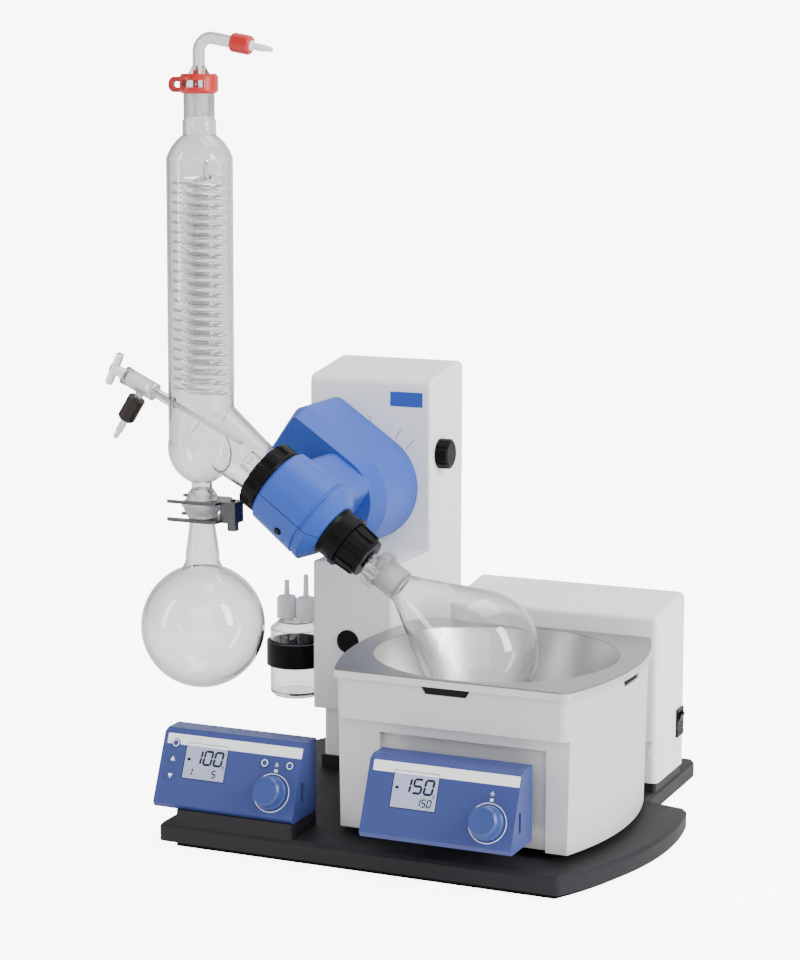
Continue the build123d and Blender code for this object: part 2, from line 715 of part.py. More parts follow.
clip_face = Plane(
    origin=head_axis.from_local_coords((CONE_START - 7, 0, 0)), x_dir=(0, 1, 0), z_dir=head_axis.x_dir
)
with BuildPart() as flask_clip:
    with BuildSketch(clip_face) as clip_ring:
        Circle(FLASK_NECK + 5.5)
        with Locations((FLASK_NECK + 6, 0), (-FLASK_NECK - 6, 0)):
            Circle(7)
        Circle(FLASK_NECK + 2.7, mode=Mode.SUBTRACT)
        with Locations((0, -FLASK_NECK - 8)):
            Rectangle(24, 18, mode=Mode.SUBTRACT)
        with Locations((FLASK_NECK + 6.5, 0), (-FLASK_NECK - 6.5, 0)):
            Circle(3, mode=Mode.SUBTRACT)
    extrude(clip_ring.sketch, amount=14)
save("flask_clip", flask_clip)

# Ring nut that holds the condenser flange to the head
flange_face = hub_end - FLANGE_WIDTH
nut_lip = flange_face - FREE
with BuildPart() as ring_nut:
    turn(
        head_axis,
        [
            (HUB_TOP - FREE, SPIGOT_RADIUS + RUN), (HUB_TOP - FREE, RING_NUT_RADIUS - 1.5),
            (HUB_TOP - 3, RING_NUT_RADIUS), (nut_lip - 1, RING_NUT_RADIUS), (nut_lip - 3, RING_NUT_RADIUS - 2),
            (nut_lip - 3, BRANCH_RADIUS + 1.6), (nut_lip, BRANCH_RADIUS + 1.6), (nut_lip, SPIGOT_RADIUS + RUN),
        ],
    )
    lobe_face = Plane(
        origin=head_axis.from_local_coords((nut_lip - 3, 0, 0)), x_dir=(0, 1, 0), z_dir=head_axis.x_dir
    )
    with BuildSketch(lobe_face) as lobes:
        with PolarLocations(RING_NUT_RADIUS + 3.2, RING_NUT_LOBES):
            Circle(6.5)
    extrude(lobes.sketch, amount=15, mode=Mode.SUBTRACT)
save("ring_nut", ring_nut)


# Condenser glass: jacket, branch to the head, ball outlet and stopcock barrel
def jacket_outline(skin):
    """Jacket, shoulders, top socket and outlet as a half outline about the upright axis."""
    reach = 0.7071
    with BuildSketch(condenser_axis) as outline:
        with BuildLine():
            Line((ball_centre, 0), (socket_top, 0))
            Polyline(
                (socket_top, 0), (socket_top, SOCKET_RADIUS - skin), (socket_start, SOCKET_RADIUS - skin),
                (socket_start - 3, NECK_RADIUS - skin), (neck_start, NECK_RADIUS - skin),
            )
            ThreePointArc(
                (neck_start, NECK_RADIUS - skin),
                (jacket_top + 14, (NECK_RADIUS + JACKET_RADIUS) / 2 - skin + 1.5),
                (jacket_top, JACKET_RADIUS - skin),
            )
            Line((jacket_top, JACKET_RADIUS - skin), (jacket_bottom, JACKET_RADIUS - skin))
            ThreePointArc(
                (jacket_bottom, JACKET_RADIUS - skin),
                (
                    outlet_start + (jacket_bottom - outlet_start) * (1 - reach),
                    OUTLET_RADIUS - skin + (JACKET_RADIUS - OUTLET_RADIUS) * reach,
                ),
                (outlet_start, OUTLET_RADIUS - skin),
            )
            Polyline(
                (outlet_start, OUTLET_RADIUS - skin), (ball_centre, OUTLET_RADIUS - skin), (ball_centre, 0)
            )
        make_face()
    return outline.sketch


def barrel_bore(along):
    """Radius of the tapered bore in the stopcock barrel."""
    return 5.0 + 0.05 * (along - BARREL_START)


branch_root_s = -CONDENSER_OFFSET / tilt_cos
upright_line = Axis((condenser_x, glass_y, 0), (0, 0, 1))
link_height = coil_bottom + COIL_PITCH * COIL_OVERRUN / 360
lead_heights = (link_height + COIL_TURNS * COIL_PITCH, link_height + COIL_TURNS * COIL_PITCH + LEAD_SPACING)
coil_height = COIL_PITCH * (COIL_TURNS + 2 * COIL_OVERRUN / 360)
coil_leads = [
    Plane(origin=(condenser_x, glass_y, height), x_dir=(0, 1, 0), z_dir=(1, 0, 0)) for height in lead_heights
]
with BuildPart() as condenser:
    revolve(jacket_outline(0), axis=upright_line)
    turn(
        head_axis,
        [
            (branch_root_s, 0), (branch_root_s, BRANCH_ROOT), (nut_lip - 8, BRANCH_RADIUS),
            (flange_face, BRANCH_RADIUS), (flange_face, FLANGE_RADIUS), (hub_end, FLANGE_RADIUS), (hub_end, 0),
        ],
    )
    turn(
        condenser_axis,
        [
            (ball_centre - 14, 0), (ball_centre - 14, 10.5), (ball_centre - 8, 15.5),
            (ball_centre, BALL_RADIUS), (ball_centre + 8, 15.5), (ball_centre + 14, 10.5),
            (ball_centre + 14, 0),
        ],
    )
    rod(stopcock, 0, BARREL_START + 2, 5.5)
    rod(stopcock, BARREL_START, BARREL_END, BARREL_RADIUS)
    rod(vent_arm, 0, 22, 4.5)
    revolve(jacket_outline(GLASS_WALL), axis=upright_line, mode=Mode.SUBTRACT)
    turn(
        head_axis,
        [
            (branch_root_s, 0), (branch_root_s, BRANCH_ROOT - GLASS_WALL),
            (nut_lip - 8, BRANCH_RADIUS - GLASS_WALL),
            (hub_end + 1, BRANCH_RADIUS - GLASS_WALL), (hub_end + 1, 0),
        ],
        Mode.SUBTRACT,
    )
    rod(condenser_axis, ball_centre - 15, ball_centre + 5, 8, Mode.SUBTRACT)
    rod(stopcock, 30, BARREL_START, 3, Mode.SUBTRACT)
    turn(
        stopcock,
        [
            (BARREL_START + 6, 0), (BARREL_START + 6, barrel_bore(BARREL_START + 6)),
            (BARREL_END + 1, barrel_bore(BARREL_END + 1)), (BARREL_END + 1, 0),
        ],
        Mode.SUBTRACT,
    )
    rod(stopcock, BARREL_START - 1, BARREL_START + 7, 3, Mode.SUBTRACT)
    rod(vent_arm, 6, 23, 2.5, Mode.SUBTRACT)
    for lead in coil_leads:
        rod(lead, JACKET_RADIUS - 6, JACKET_RADIUS + 4, LEAD_RADIUS + RUN, Mode.SUBTRACT)
save("condenser", condenser)


def coil(radius):
    """Helical glass tube whose ends run a little past the leads at the back."""
    with BuildLine(Plane.XY.offset(coil_bottom)) as winding:
        Helix(pitch=COIL_PITCH, height=coil_height, radius=radius, center=(condenser_x, glass_y, 0))
    with BuildSketch(Plane(origin=winding.line @ 0, z_dir=winding.line % 0)) as section:
        RegularPolygon(radius=COIL_TUBE, side_count=4)
    sweep(section.sketch, path=winding.line, is_frenet=True)


coil_skin = COIL_TUBE + SEAT
with BuildPart() as windings:
    coil(OUTER_COIL)
    coil(INNER_COIL)
with BuildPart() as cooling_coils:
    add(windings.part.rotate(upright_line, 90 - COIL_OVERRUN))
    bottom_link = Plane(origin=(condenser_x, glass_y, link_height), x_dir=(0, 1, 0), z_dir=(1, 0, 0))
    rod(bottom_link, INNER_COIL + coil_skin, OUTER_COIL - coil_skin, LEAD_RADIUS)
    riser_foot = lead_heights[0] + coil_skin + FREE
    rod(upright(condenser_x, glass_y + INNER_COIL), riser_foot, lead_heights[1], LEAD_RADIUS - 0.4)
    for lead, start in zip(coil_leads, (OUTER_COIL + coil_skin, INNER_COIL - LEAD_RADIUS)):
        rod(lead, start, JACKET_RADIUS + 8, LEAD_RADIUS)
        turn(
            lead,
            [
                (JACKET_RADIUS + 8, 0), (JACKET_RADIUS + 8, LEAD_RADIUS),
                (JACKET_RADIUS + 14, LEAD_RADIUS + 1.8),
                (JACKET_RADIUS + 20, LEAD_RADIUS), (JACKET_RADIUS + 26, LEAD_RADIUS + 1.5),
                (JACKET_RADIUS + 31, LEAD_RADIUS - 0.4), (JACKET_RADIUS + 31, 0),
            ],
        )
save("cooling_coils", cooling_coils)

with BuildPart() as stopcock_key:
    turn(
        stopcock,
        [
            (BARREL_START + 10, 0), (BARREL_START + 10, barrel_bore(BARREL_START + 10) - RUN),
            (BARREL_END + FREE, barrel_bore(BARREL_END) - RUN), (BARREL_END + FREE, 10), (BARREL_END + 6, 10),
            (BARREL_END + 8, 6), (BARREL_END + 24, 5), (BARREL_END + 24, 0),
        ],
    )
    key_bar = Plane(
        origin=stopcock.from_local_coords((BARREL_END + 20, 0, 0)), x_dir=stopcock.y_dir, z_dir=(0, -1, 0)
    )
    turn(key_bar, [(-18, 0), (-18, 3.5), (-14, 4.5), (14, 4.5), (18, 3.5), (18, 0)])
save("stopcock_key", stopcock_key)

with BuildPart() as feed_tube:
    tube(stopcock, -52, BARREL_START + 4, 3 - SEAT, 1.6)
save("feed_tube", feed_tube)

with BuildPart() as vent_cap:
    tube(vent_arm, 16, 30, 9.5, 4.5 + SEAT)
    turn(vent_arm, [(22 + SEAT, 2), (22 + SEAT, 9.5), (41, 9.5), (43, 8), (43, 2)])
save("vent_cap", vent_cap)

# Vacuum elbow on top of the condenser
elbow_cap_start = 40.0
elbow_cap_end = 61.0
with BuildPart() as vacuum_elbow:
    turn(
        condenser_axis,
        [
            (socket_start + 2, 0), (socket_start + 2, 12.0), (socket_top, SOCKET_RADIUS - GLASS_WALL - SEAT),
            (socket_top + 6, SOCKET_RADIUS - 2.4), (socket_top + 18, 11), (socket_top + 26, ELBOW_RADIUS),
            (socket_top + 26, 0),
        ],
    )
    with BuildLine(Plane(origin=(0, glass_y, 0), x_dir=(1, 0, 0), z_dir=(0, -1, 0))) as bend:
        FilletPolyline(
            (condenser_x, socket_top + 20), (condenser_x, elbow_corner),
            (
                condenser_x + (elbow_cap_start + 14) * elbow_end.x_dir.X,
                elbow_corner + (elbow_cap_start + 14) * elbow_end.x_dir.Z,
            ),
            radius=14,
        )
    with BuildSketch(Plane(origin=bend.line @ 0, z_dir=bend.line % 0)) as ring:
        Circle(ELBOW_RADIUS)
    sweep(ring.sketch, path=bend.line)
    with BuildSketch(Plane(origin=bend.line @ 0, z_dir=bend.line % 0)) as bore:
        Circle(ELBOW_RADIUS - GLASS_WALL)
    sweep(bore.sketch, path=bend.line, mode=Mode.SUBTRACT)
    rod(condenser_axis, socket_start + 1, socket_top + 21, ELBOW_RADIUS - GLASS_WALL, Mode.SUBTRACT)
save("vacuum_elbow", vacuum_elbow)

with BuildPart() as elbow_cap:
    turn(
        elbow_end,
        [
            (elbow_cap_start, ELBOW_RADIUS + SEAT), (elbow_cap_start, 9.5), (elbow_cap_start + 2, 10),
            (elbow_cap_end - 2, 10), (elbow_cap_end, 8.5), (elbow_cap_end, 2),
            (elbow_cap_start + 14 + SEAT, 2), (elbow_cap_start + 14 + SEAT, ELBOW_RADIUS + SEAT),
        ],
    )
save("elbow_cap", elbow_cap)

with BuildPart() as hose_nozzles:
    for plane, start in ((elbow_end, elbow_cap_end), (vent_arm, 43)):
        turn(
            plane,
            [
                (start, 1.5), (start, 5.5), (start + 2, 5.5), (start + 2, 3.2), (start + 9, 4.2),
                (start + 9, 3.2),
                (start + 15, 4.2), (start + 15, 3.2), (start + 24, 2.6), (start + 24, 1.5),
            ],
        )
save("hose_nozzles", hose_nozzles)

clip_foot = socket_top - 2.5
clip_head = clip_foot + 20
clip_mid = (clip_foot + clip_head) / 2
clip_reach = SOCKET_RADIUS + 4
with BuildPart() as socket_clip:
    turn(
        condenser_axis,
        [
            (clip_foot, 0), (clip_foot, clip_reach - 2), (clip_foot + 3, clip_reach),
            (clip_head - 3, clip_reach),
            (clip_head, clip_reach - 2), (clip_head, 0),
        ],
    )
    with BuildSketch(Plane.XZ.offset(-glass_y - 3)) as loop:
        with Locations((condenser_x - clip_reach - 4, clip_mid - 1)):
            RectangleRounded(20, 16, 7)
            RectangleRounded(11, 6, 2.5, mode=Mode.SUBTRACT)
    extrude(loop.sketch, amount=6)
    rod(condenser_axis, clip_foot - 1, clip_head + 1, SOCKET_RADIUS + SEAT, Mode.SUBTRACT)
    block(
        condenser_x - 14, condenser_x + 14, glass_y - clip_reach - 1, glass_y,
        clip_mid - 3.5, clip_mid + 3.5, 0, Mode.SUBTRACT,
    )
    block(
        condenser_x - 10, condenser_x + 10, glass_y, glass_y + clip_reach + 1,
        clip_foot - 1, clip_head + 1, 0, Mode.SUBTRACT,
    )
save("socket_clip", socket_clip)


# Receiving flask on the ball joint
def receiver_outline(skin):
    """Round flask with a flared neck and a ball cup, as a half outline about the upright axis."""
    radius = RECEIVER_RADIUS - skin
    join = math.radians(20)
    with BuildSketch(condenser_axis) as outline:
        with BuildLine():
            low = receiver_centre - radius
            flare = (receiver_centre + radius * math.cos(join), radius * math.sin(join))
            ThreePointArc((low, 0), (receiver_centre, radius), flare)
            ThreePointArc(
                flare, (receiver_centre + 66, RECEIVER_NECK_LOW + 1.5 - skin),
                (receiver_centre + 76, RECEIVER_NECK_LOW - skin),
            )
            Polyline(
                (receiver_centre + 76, RECEIVER_NECK_LOW - skin), (ball_centre - 20, RECEIVER_NECK - skin),
                (ball_centre - 20, 0), (low, 0),
            )
        make_face()
    return outline.sketch


with BuildPart() as receiver_flask:
    revolve(receiver_outline(0), axis=upright_line)
    turn(
        condenser_axis,
        [
            (ball_centre - 21, 0), (ball_centre - 21, RECEIVER_NECK), (ball_centre - 20, RECEIVER_NECK + 0.5),
            (ball_centre - 3, CUP_RADIUS), (ball_centre - 1, CUP_RADIUS), (ball_centre - 1, 0),
        ],
    )
    revolve(receiver_outline(GLASS_WALL), axis=upright_line, mode=Mode.SUBTRACT)
    turn(
        condenser_axis,
        [
            (ball_centre - 21, 0), (ball_centre - 21, RECEIVER_NECK - GLASS_WALL),
            (ball_centre - 14, 10.5 + SEAT),
            (ball_centre - 8, 15.5 + SEAT), (ball_centre, BALL_RADIUS + SEAT), (ball_centre, 0),
        ],
        Mode.SUBTRACT,
    )
save("receiver_flask", receiver_flask)

clamp_right = condenser_x + 44
jaw_high = ball_centre - 1 + SEAT
jaw_low = ball_centre - 20
screw_axis = upright(clamp_right - 8, glass_y)
with BuildPart() as ball_clamp:
    for low, slot in ((jaw_high, BALL_RADIUS + FREE), (jaw_low, RECEIVER_NECK + 2.6)):
        with BuildSketch(Plane.XY.offset(low)) as fork:
            with Locations((condenser_x - 3, glass_y)):
                RectangleRounded(60, 46, 8)
            with Locations((condenser_x + 34, glass_y)):
                RectangleRounded(20, 22, 4)
            with Locations((condenser_x, glass_y)):
                Circle(slot, mode=Mode.SUBTRACT)
            with Locations((condenser_x - 20, glass_y)):
                Rectangle(40, 2 * slot, mode=Mode.SUBTRACT)
        extrude(fork.sketch, amount=JAW)
    block(condenser_x + 25, clamp_right, glass_y - 11, glass_y + 11, jaw_low, jaw_high + JAW, 3)
    rod(screw_axis, jaw_low - 1, jaw_high + JAW + 1, 2.5 + RUN, Mode.SUBTRACT)
save("ball_clamp", ball_clamp)

with BuildPart() as clamp_screw:
    turn(
        screw_axis,
        [
            (jaw_low - 9, 0), (jaw_low - 9, 6), (jaw_low - FREE, 6), (jaw_low - FREE, 2.5),
            (jaw_high + JAW + 2, 2.5), (jaw_high + JAW + 2, 0),
        ],
    )
save("clamp_screw", clamp_screw)

# Power box behind the bath
box_low = base_top + BOX_PLINTH
box_right = BOX_LEFT + BOX_WIDTH
box_back = BOX_FRONT + BOX_DEPTH
switch_y = box_back - BOX_EDGE - SWITCH_HALF_WIDTH - 2.5
switch_z = base_top + 59
inlet_x = BOX_LEFT + 0.72 * BOX_WIDTH
inlet_z = base_top + 44
with BuildPart() as power_box:
    side_profile(
        BOX_LEFT, box_right,
        [
            (BOX_FRONT, box_low), (box_back, box_low), (box_back, box_low + BOX_HEIGHT + BOX_RISE),
            (BOX_FRONT, box_low + BOX_HEIGHT),
        ],
    )
    fillet(power_box.edges().filter_by(Axis.Z), BOX_EDGE)
    fillet(power_box.faces().sort_by(Axis.Z)[-1].edges(), BOX_EDGE - 1)
    block(
        box_right - 16, box_right + 1, switch_y - SWITCH_HALF_WIDTH, switch_y + SWITCH_HALF_WIDTH,
        switch_z - SWITCH_HALF_HEIGHT, switch_z + SWITCH_HALF_HEIGHT, 0, Mode.SUBTRACT,
    )
    block(
        inlet_x - 14, inlet_x + 14, box_back - 20, box_back + 1, inlet_z - 10, inlet_z + 10, 0, Mode.SUBTRACT
    )
save("power_box", power_box)


def rocker_frame(x, half_width, half_height):
    """Bezel lining a rocker opening on a face towards +X, built on the plane of that face."""
    with BuildSketch(x) as rim:
        Rectangle(2 * half_width + 4, 2 * half_height + 4)
        Rectangle(2 * half_width - 3, 2 * half_height - 3, mode=Mode.SUBTRACT)
    extrude(rim.sketch, amount=2)
    with BuildSketch(x) as lining:
        Rectangle(2 * half_width, 2 * half_height)
        Rectangle(2 * half_width - 3, 2 * half_height - 3, mode=Mode.SUBTRACT)
    extrude(lining.sketch, amount=-10)


def rocker_shape(plane, half_width, half_height):
    """Rocker: two faces meeting in a shallow valley, pressed in at the lower end."""
    tip = math.radians(8)
    normal = plane.z_dir * math.cos(tip) - plane.y_dir * math.sin(tip)
    tipped = Plane(origin=plane.origin, x_dir=plane.x_dir, z_dir=normal)
    side = Plane(origin=tipped.origin - tipped.x_dir * half_width, x_dir=tipped.y_dir, z_dir=tipped.x_dir)
    with BuildSketch(side) as outline:
        with BuildLine():
            Polyline(
                (-half_height, 3.6), (0, 1.6), (half_height, 3.6), (half_height - 1.5, -3), (4, -8), (-4, -8),
                (-half_height + 1.5, -3), close=True,
            )
        make_face()
    extrude(outline.sketch, amount=2 * half_width)


switch_plane = Plane(origin=(box_right, switch_y, switch_z), x_dir=(0, 1, 0), z_dir=(1, 0, 0))
with BuildPart() as switch_frame:
    rocker_frame(switch_plane, SWITCH_HALF_WIDTH, SWITCH_HALF_HEIGHT)
save("switch_frame", switch_frame)

with BuildPart() as power_rocker:
    rocker_shape(switch_plane, SWITCH_HALF_WIDTH - 1.5 - 4 * RUN, SWITCH_HALF_HEIGHT - 3)
save("power_rocker", power_rocker)

with BuildPart() as mains_inlet:
    block(inlet_x - 14, inlet_x + 14, box_back - 20, box_back, inlet_z - 10, inlet_z + 10)
    block(inlet_x - 25, inlet_x + 25, box_back, box_back + 2.5, inlet_z - 12, inlet_z + 12)
    block(inlet_x - 12, inlet_x + 12, box_back - 16, box_back + 3, inlet_z - 8, inlet_z + 8, 0, Mode.SUBTRACT)
    for dx, dz in ((-7, -2), (0, 2), (7, -2)):
        pin_x, pin_z = inlet_x + dx, inlet_z + dz
        block(pin_x - 1, pin_x + 1, box_back - 17, box_back - 2, pin_z - 2, pin_z + 2)
save("mains_inlet", mains_inlet)


# Heating bath
def bath_outline(height, inset):
    """Bath plan: straight front and back, swelling sides, rounded corners."""
    corner = BATH_CORNER_WIDTH / 2 - inset
    side = BATH_WIDTH / 2 - inset
    half = BATH_DEPTH / 2 - inset
    with BuildSketch(Plane.XY.offset(height)) as outline:
        with BuildLine(Plane.XY.offset(height)):
            Line((BATH_X - corner, glass_y - half), (BATH_X + corner, glass_y - half))
            ThreePointArc(
                (BATH_X + corner, glass_y - half), (BATH_X + side, glass_y), (BATH_X + corner, glass_y + half)
            )
            Line((BATH_X + corner, glass_y + half), (BATH_X - corner, glass_y + half))
            ThreePointArc(
                (BATH_X - corner, glass_y + half), (BATH_X - side, glass_y), (BATH_X - corner, glass_y - half)
            )
        make_face()
        fillet(outline.vertices(), 9)
    return outline.sketch


def bowl_outline(skin):
    """Bowl half outline: slightly tapered wall, wide knee, flat bottom."""
    knee = BOWL_KNEE_RADIUS + skin
    bottom = BOWL_BOTTOM - skin
    reach = BOWL_KNEE - BOWL_BOTTOM
    with BuildSketch(upright(BATH_X, glass_y)) as outline:
        with BuildLine():
            Line((RIM_TOP + 1, 0), (RIM_TOP + 1, BOWL_RADIUS + skin))
            Line((RIM_TOP + 1, BOWL_RADIUS + skin), (BOWL_KNEE, knee))
            ThreePointArc(
                (BOWL_KNEE, knee), (BOWL_BOTTOM - skin + reach * 0.29, knee - reach * 0.29),
                (bottom, knee - reach),
            )
            Line((bottom, knee - reach), (bottom, 0))
            Line((bottom, 0), (RIM_TOP + 1, 0))
        make_face()
    return outline.sketch


bowl_line = Axis((BATH_X, glass_y, 0), (0, 0, 1))
bath_axis = upright(BATH_X, glass_y)
bath_front = glass_y - BATH_DEPTH / 2
recess_y = bath_front + CASING_INSET + FRONT_STEP
bath_console_back = recess_y + 8
console_x = BATH_X + 10
heater_low = BOWL_BOTTOM - BOWL_WALL - 8
rocker_y = glass_y + 105
side_swell = (BATH_WIDTH - BATH_CORNER_WIDTH) / 2
rocker_x = BATH_X + BATH_WIDTH / 2 - side_swell * (105 / (BATH_DEPTH / 2)) ** 2 - CASING_INSET - 2
bath_switch = Plane(origin=(rocker_x, rocker_y, BATH_FLOOR + 48), x_dir=(-0.325, 1, 0), z_dir=(1, 0.325, 0))
side_grip = Plane(
    origin=(BATH_X + BATH_WIDTH / 2 - CASING_INSET, glass_y, 0), x_dir=(0, 1, 0), z_dir=(1, 0, 0)
)
with BuildPart() as bath_casing:
    extrude(bath_outline(RIM_LOW, CASING_INSET), amount=-(RIM_LOW - BATH_FLOOR), taper=1.0)
    block(
        BATH_X - 140, BATH_X + 140, bath_front - 5, recess_y,
        BATH_FLOOR - 1, FRONT_STEP_HEIGHT, 0, Mode.SUBTRACT,
    )
    block(
        console_x - CONSOLE_WIDTH / 2 - 9, console_x + CONSOLE_WIDTH / 2 + 9, recess_y - 1, bath_console_back,
        BATH_FLOOR - 1, FRONT_STEP_HEIGHT - 12, 0, Mode.SUBTRACT,
    )
    revolve(bowl_outline(BOWL_WALL + 4), axis=bowl_line, mode=Mode.SUBTRACT)
    rod(bath_axis, heater_low, BOWL_BOTTOM, 66, Mode.SUBTRACT)
    with BuildSketch(Plane.XZ.offset(-bath_front)) as grip:
        with Locations((BATH_X - 4, RIM_LOW - 3)):
            Trapezoid(GRIP_WIDTH, 10, 60, rotation=180)
    extrude(grip.sketch, amount=8, both=True, mode=Mode.SUBTRACT)
    with BuildSketch(side_grip) as hold:
        with Locations((0, RIM_LOW - 3)):
            Trapezoid(GRIP_WIDTH, 10, 60, rotation=180)
    extrude(hold.sketch, amount=8, both=True, mode=Mode.SUBTRACT)
    with BuildSketch(bath_switch) as well:
        Rectangle(13, 21)
    extrude(well.sketch, amount=14, both=True, mode=Mode.SUBTRACT)
save("bath_casing", bath_casing)

with BuildPart() as bath_bowl:
    extrude(bath_outline(RIM_LOW, 0), amount=RIM_TOP - RIM_LOW)
    chamfer(bath_bowl.faces().sort_by(Axis.Z)[-1].edges(), 1.2)
    extrude(bath_outline(RIM_LOW, 2.5), amount=RIM_TOP - RIM_LOW - 2, mode=Mode.SUBTRACT)
    revolve(bowl_outline(BOWL_WALL), axis=bowl_line)
    block(BATH_X - 150, BATH_X + 150, glass_y - 150, glass_y + 150, RIM_TOP, RIM_TOP + 3, 0, Mode.SUBTRACT)
    revolve(bowl_outline(0), axis=bowl_line, mode=Mode.SUBTRACT)
save("bath_bowl", bath_bowl)

with BuildPart() as bath_heater:
    tube(bath_axis, heater_low, BOWL_BOTTOM - BOWL_WALL, 62, 26)
save("bath_heater", bath_heater)

with BuildPart() as bath_feet:
    for dx, dy in ((-92, -92), (92, -92), (-92, 92), (92, 92)):
        turn(
            upright(BATH_X + dx, glass_y + dy),
            [(base_top, 0), (base_top, 10), (BATH_FLOOR, 12), (BATH_FLOOR, 0)],
        )
save("bath_feet", bath_feet)

with BuildPart() as bath_rocker:
    rocker_shape(bath_switch.offset(1), 6.5 - 2 * RUN, 8.5)
save("bath_rocker", bath_rocker)

# Operating consoles: the same module stands on the base and on the bath
lean_cos = math.cos(math.radians(PANEL_LEAN))
lean_sin = math.sin(math.radians(PANEL_LEAN))


def panel_plane(x, y, z):
    """Front panel of a console: X across, Y up the panel, origin at the middle of its lower edge."""
    return Plane(origin=(x, y, z + CONSOLE_FOOT), x_dir=(1, 0, 0), z_dir=(0, -lean_cos, lean_sin))


def console_shape(x, y, z, depth, panel, keys):
    """Wedge console with a leaning panel, rounded ends, a card slot and openings for its controls."""
    top_y = y + PANEL_LENGTH * lean_sin
    top_z = z + CONSOLE_FOOT + PANEL_LENGTH * lean_cos
    with BuildSketch(Plane.YZ.offset(x - CONSOLE_WIDTH / 2)) as outline:
        with BuildLine():
            Polyline(
                (y + 3, z), (y, z + CONSOLE_FOOT), (top_y, top_z), (top_y + 7, z + CONSOLE_HEIGHT),
                (y + depth, z + CONSOLE_HEIGHT), (y + depth, z), close=True,
            )
        make_face()
    extrude(outline.sketch, amount=CONSOLE_WIDTH)
    with BuildSketch(panel) as openings:
        with Locations(DISPLAY_PLACE):
            Rectangle(DISPLAY_WIDTH, DISPLAY_HEIGHT)
    extrude(openings.sketch, amount=-2, mode=Mode.SUBTRACT)
    with BuildSketch(panel) as shaft_bore:
        with Locations(KNOB_PLACE):
            Circle(KNOB_SHAFT + RUN)
    extrude(shaft_bore.sketch, amount=-16, mode=Mode.SUBTRACT)
    if keys:
        with BuildSketch(panel) as wells:
            with Locations(*KEY_PLACES.values()):
                Circle(KEY_RADIUS + RUN)
        extrude(wells.sketch, amount=-4, mode=Mode.SUBTRACT)
    with BuildSketch(Plane.YZ.offset(x + CONSOLE_WIDTH / 2)) as slot:
        with Locations((y + 24, z + 26)):
            RectangleRounded(5, 20, 1.5)
    extrude(slot.sketch, amount=-3, mode=Mode.SUBTRACT)


def display_shape(panel):
    """Display window lying in its recess, flush with the panel."""
    with BuildSketch(panel.offset(-2)) as window:
        with Locations(DISPLAY_PLACE):
            Rectangle(DISPLAY_WIDTH, DISPLAY_HEIGHT)
    extrude(window.sketch, amount=2)


def knob_plane(panel):
    """Turning axis of a console knob, X pointing out of the panel."""
    return Plane(origin=panel.from_local_coords((*KNOB_PLACE, 0)), x_dir=panel.z_dir, z_dir=(1, 0, 0))


def knob_shape(panel):
    """Turning knob: skirted, slightly conical, with a dished end and a blind bore."""
    turn(
        knob_plane(panel),
        [
            (KNOB_LIFT, KNOB_SHAFT + RUN), (KNOB_LIFT, KNOB_RADIUS), (KNOB_LIFT + 3, KNOB_RADIUS),
            (KNOB_LIFT + 4, KNOB_RADIUS - 1.2), (KNOB_LIFT + KNOB_HEIGHT - 2, KNOB_RADIUS - 2.4),
            (KNOB_LIFT + KNOB_HEIGHT, KNOB_RADIUS - 4.4), (KNOB_LIFT + KNOB_HEIGHT - 0.8, 0),
            (KNOB_LIFT + 10 + SEAT, 0), (KNOB_LIFT + 10 + SEAT, KNOB_SHAFT + RUN),
        ],
    )


def knob_shaft_shape(panel):
    """Push shaft of a console knob, running in the panel bore."""
    rod(knob_plane(panel), -12, KNOB_LIFT + 10, KNOB_SHAFT)


def key_shape(panel, place):
    """Round key with a chamfered face, standing slightly proud of the panel."""
    axis = Plane(origin=panel.from_local_coords((*place, 0)), x_dir=panel.z_dir, z_dir=(1, 0, 0))
    turn(axis, [(-3, 0), (-3, KEY_RADIUS), (0.7, KEY_RADIUS), (1.2, KEY_RADIUS - 0.8), (1.2, 0)])


drive_panel = panel_plane(DRIVE_CONSOLE_X, DRIVE_CONSOLE_Y, DRIVE_CONSOLE_Z)
bath_panel = panel_plane(console_x, BATH_CONSOLE_Y, BATH_CONSOLE_Z)

with BuildPart() as drive_console:
    console_shape(DRIVE_CONSOLE_X, DRIVE_CONSOLE_Y, DRIVE_CONSOLE_Z, DRIVE_CONSOLE_DEPTH, drive_panel, True)
save("drive_console", drive_console)

with BuildPart() as bath_console:
    console_shape(console_x, BATH_CONSOLE_Y, BATH_CONSOLE_Z, BATH_CONSOLE_DEPTH, bath_panel, False)
    block(
        console_x - CONSOLE_WIDTH / 2 + 12, console_x + CONSOLE_WIDTH / 2 - 12,
        BATH_CONSOLE_Y + BATH_CONSOLE_DEPTH - 1, bath_console_back,
        BATH_CONSOLE_Z + 4, BATH_CONSOLE_Z + CONSOLE_HEIGHT - 10, 2,
    )
save("bath_console", bath_console)

for owner, panel in (("drive", drive_panel), ("bath", bath_panel)):
    with BuildPart() as display:
        display_shape(panel)
    save(f"{owner}_display", display)
    with BuildPart() as knob_shaft:
        knob_shaft_shape(panel)
    save(f"{owner}_knob_shaft", knob_shaft)
    with BuildPart() as knob:
        knob_shape(panel)
    save(f"{owner}_knob", knob)

for key_name, place in KEY_PLACES.items():
    with BuildPart() as key:
        key_shape(drive_panel, place)
    save(key_name, key)
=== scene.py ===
"""Rotary evaporator: finishes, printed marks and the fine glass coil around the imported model."""
import json
import math

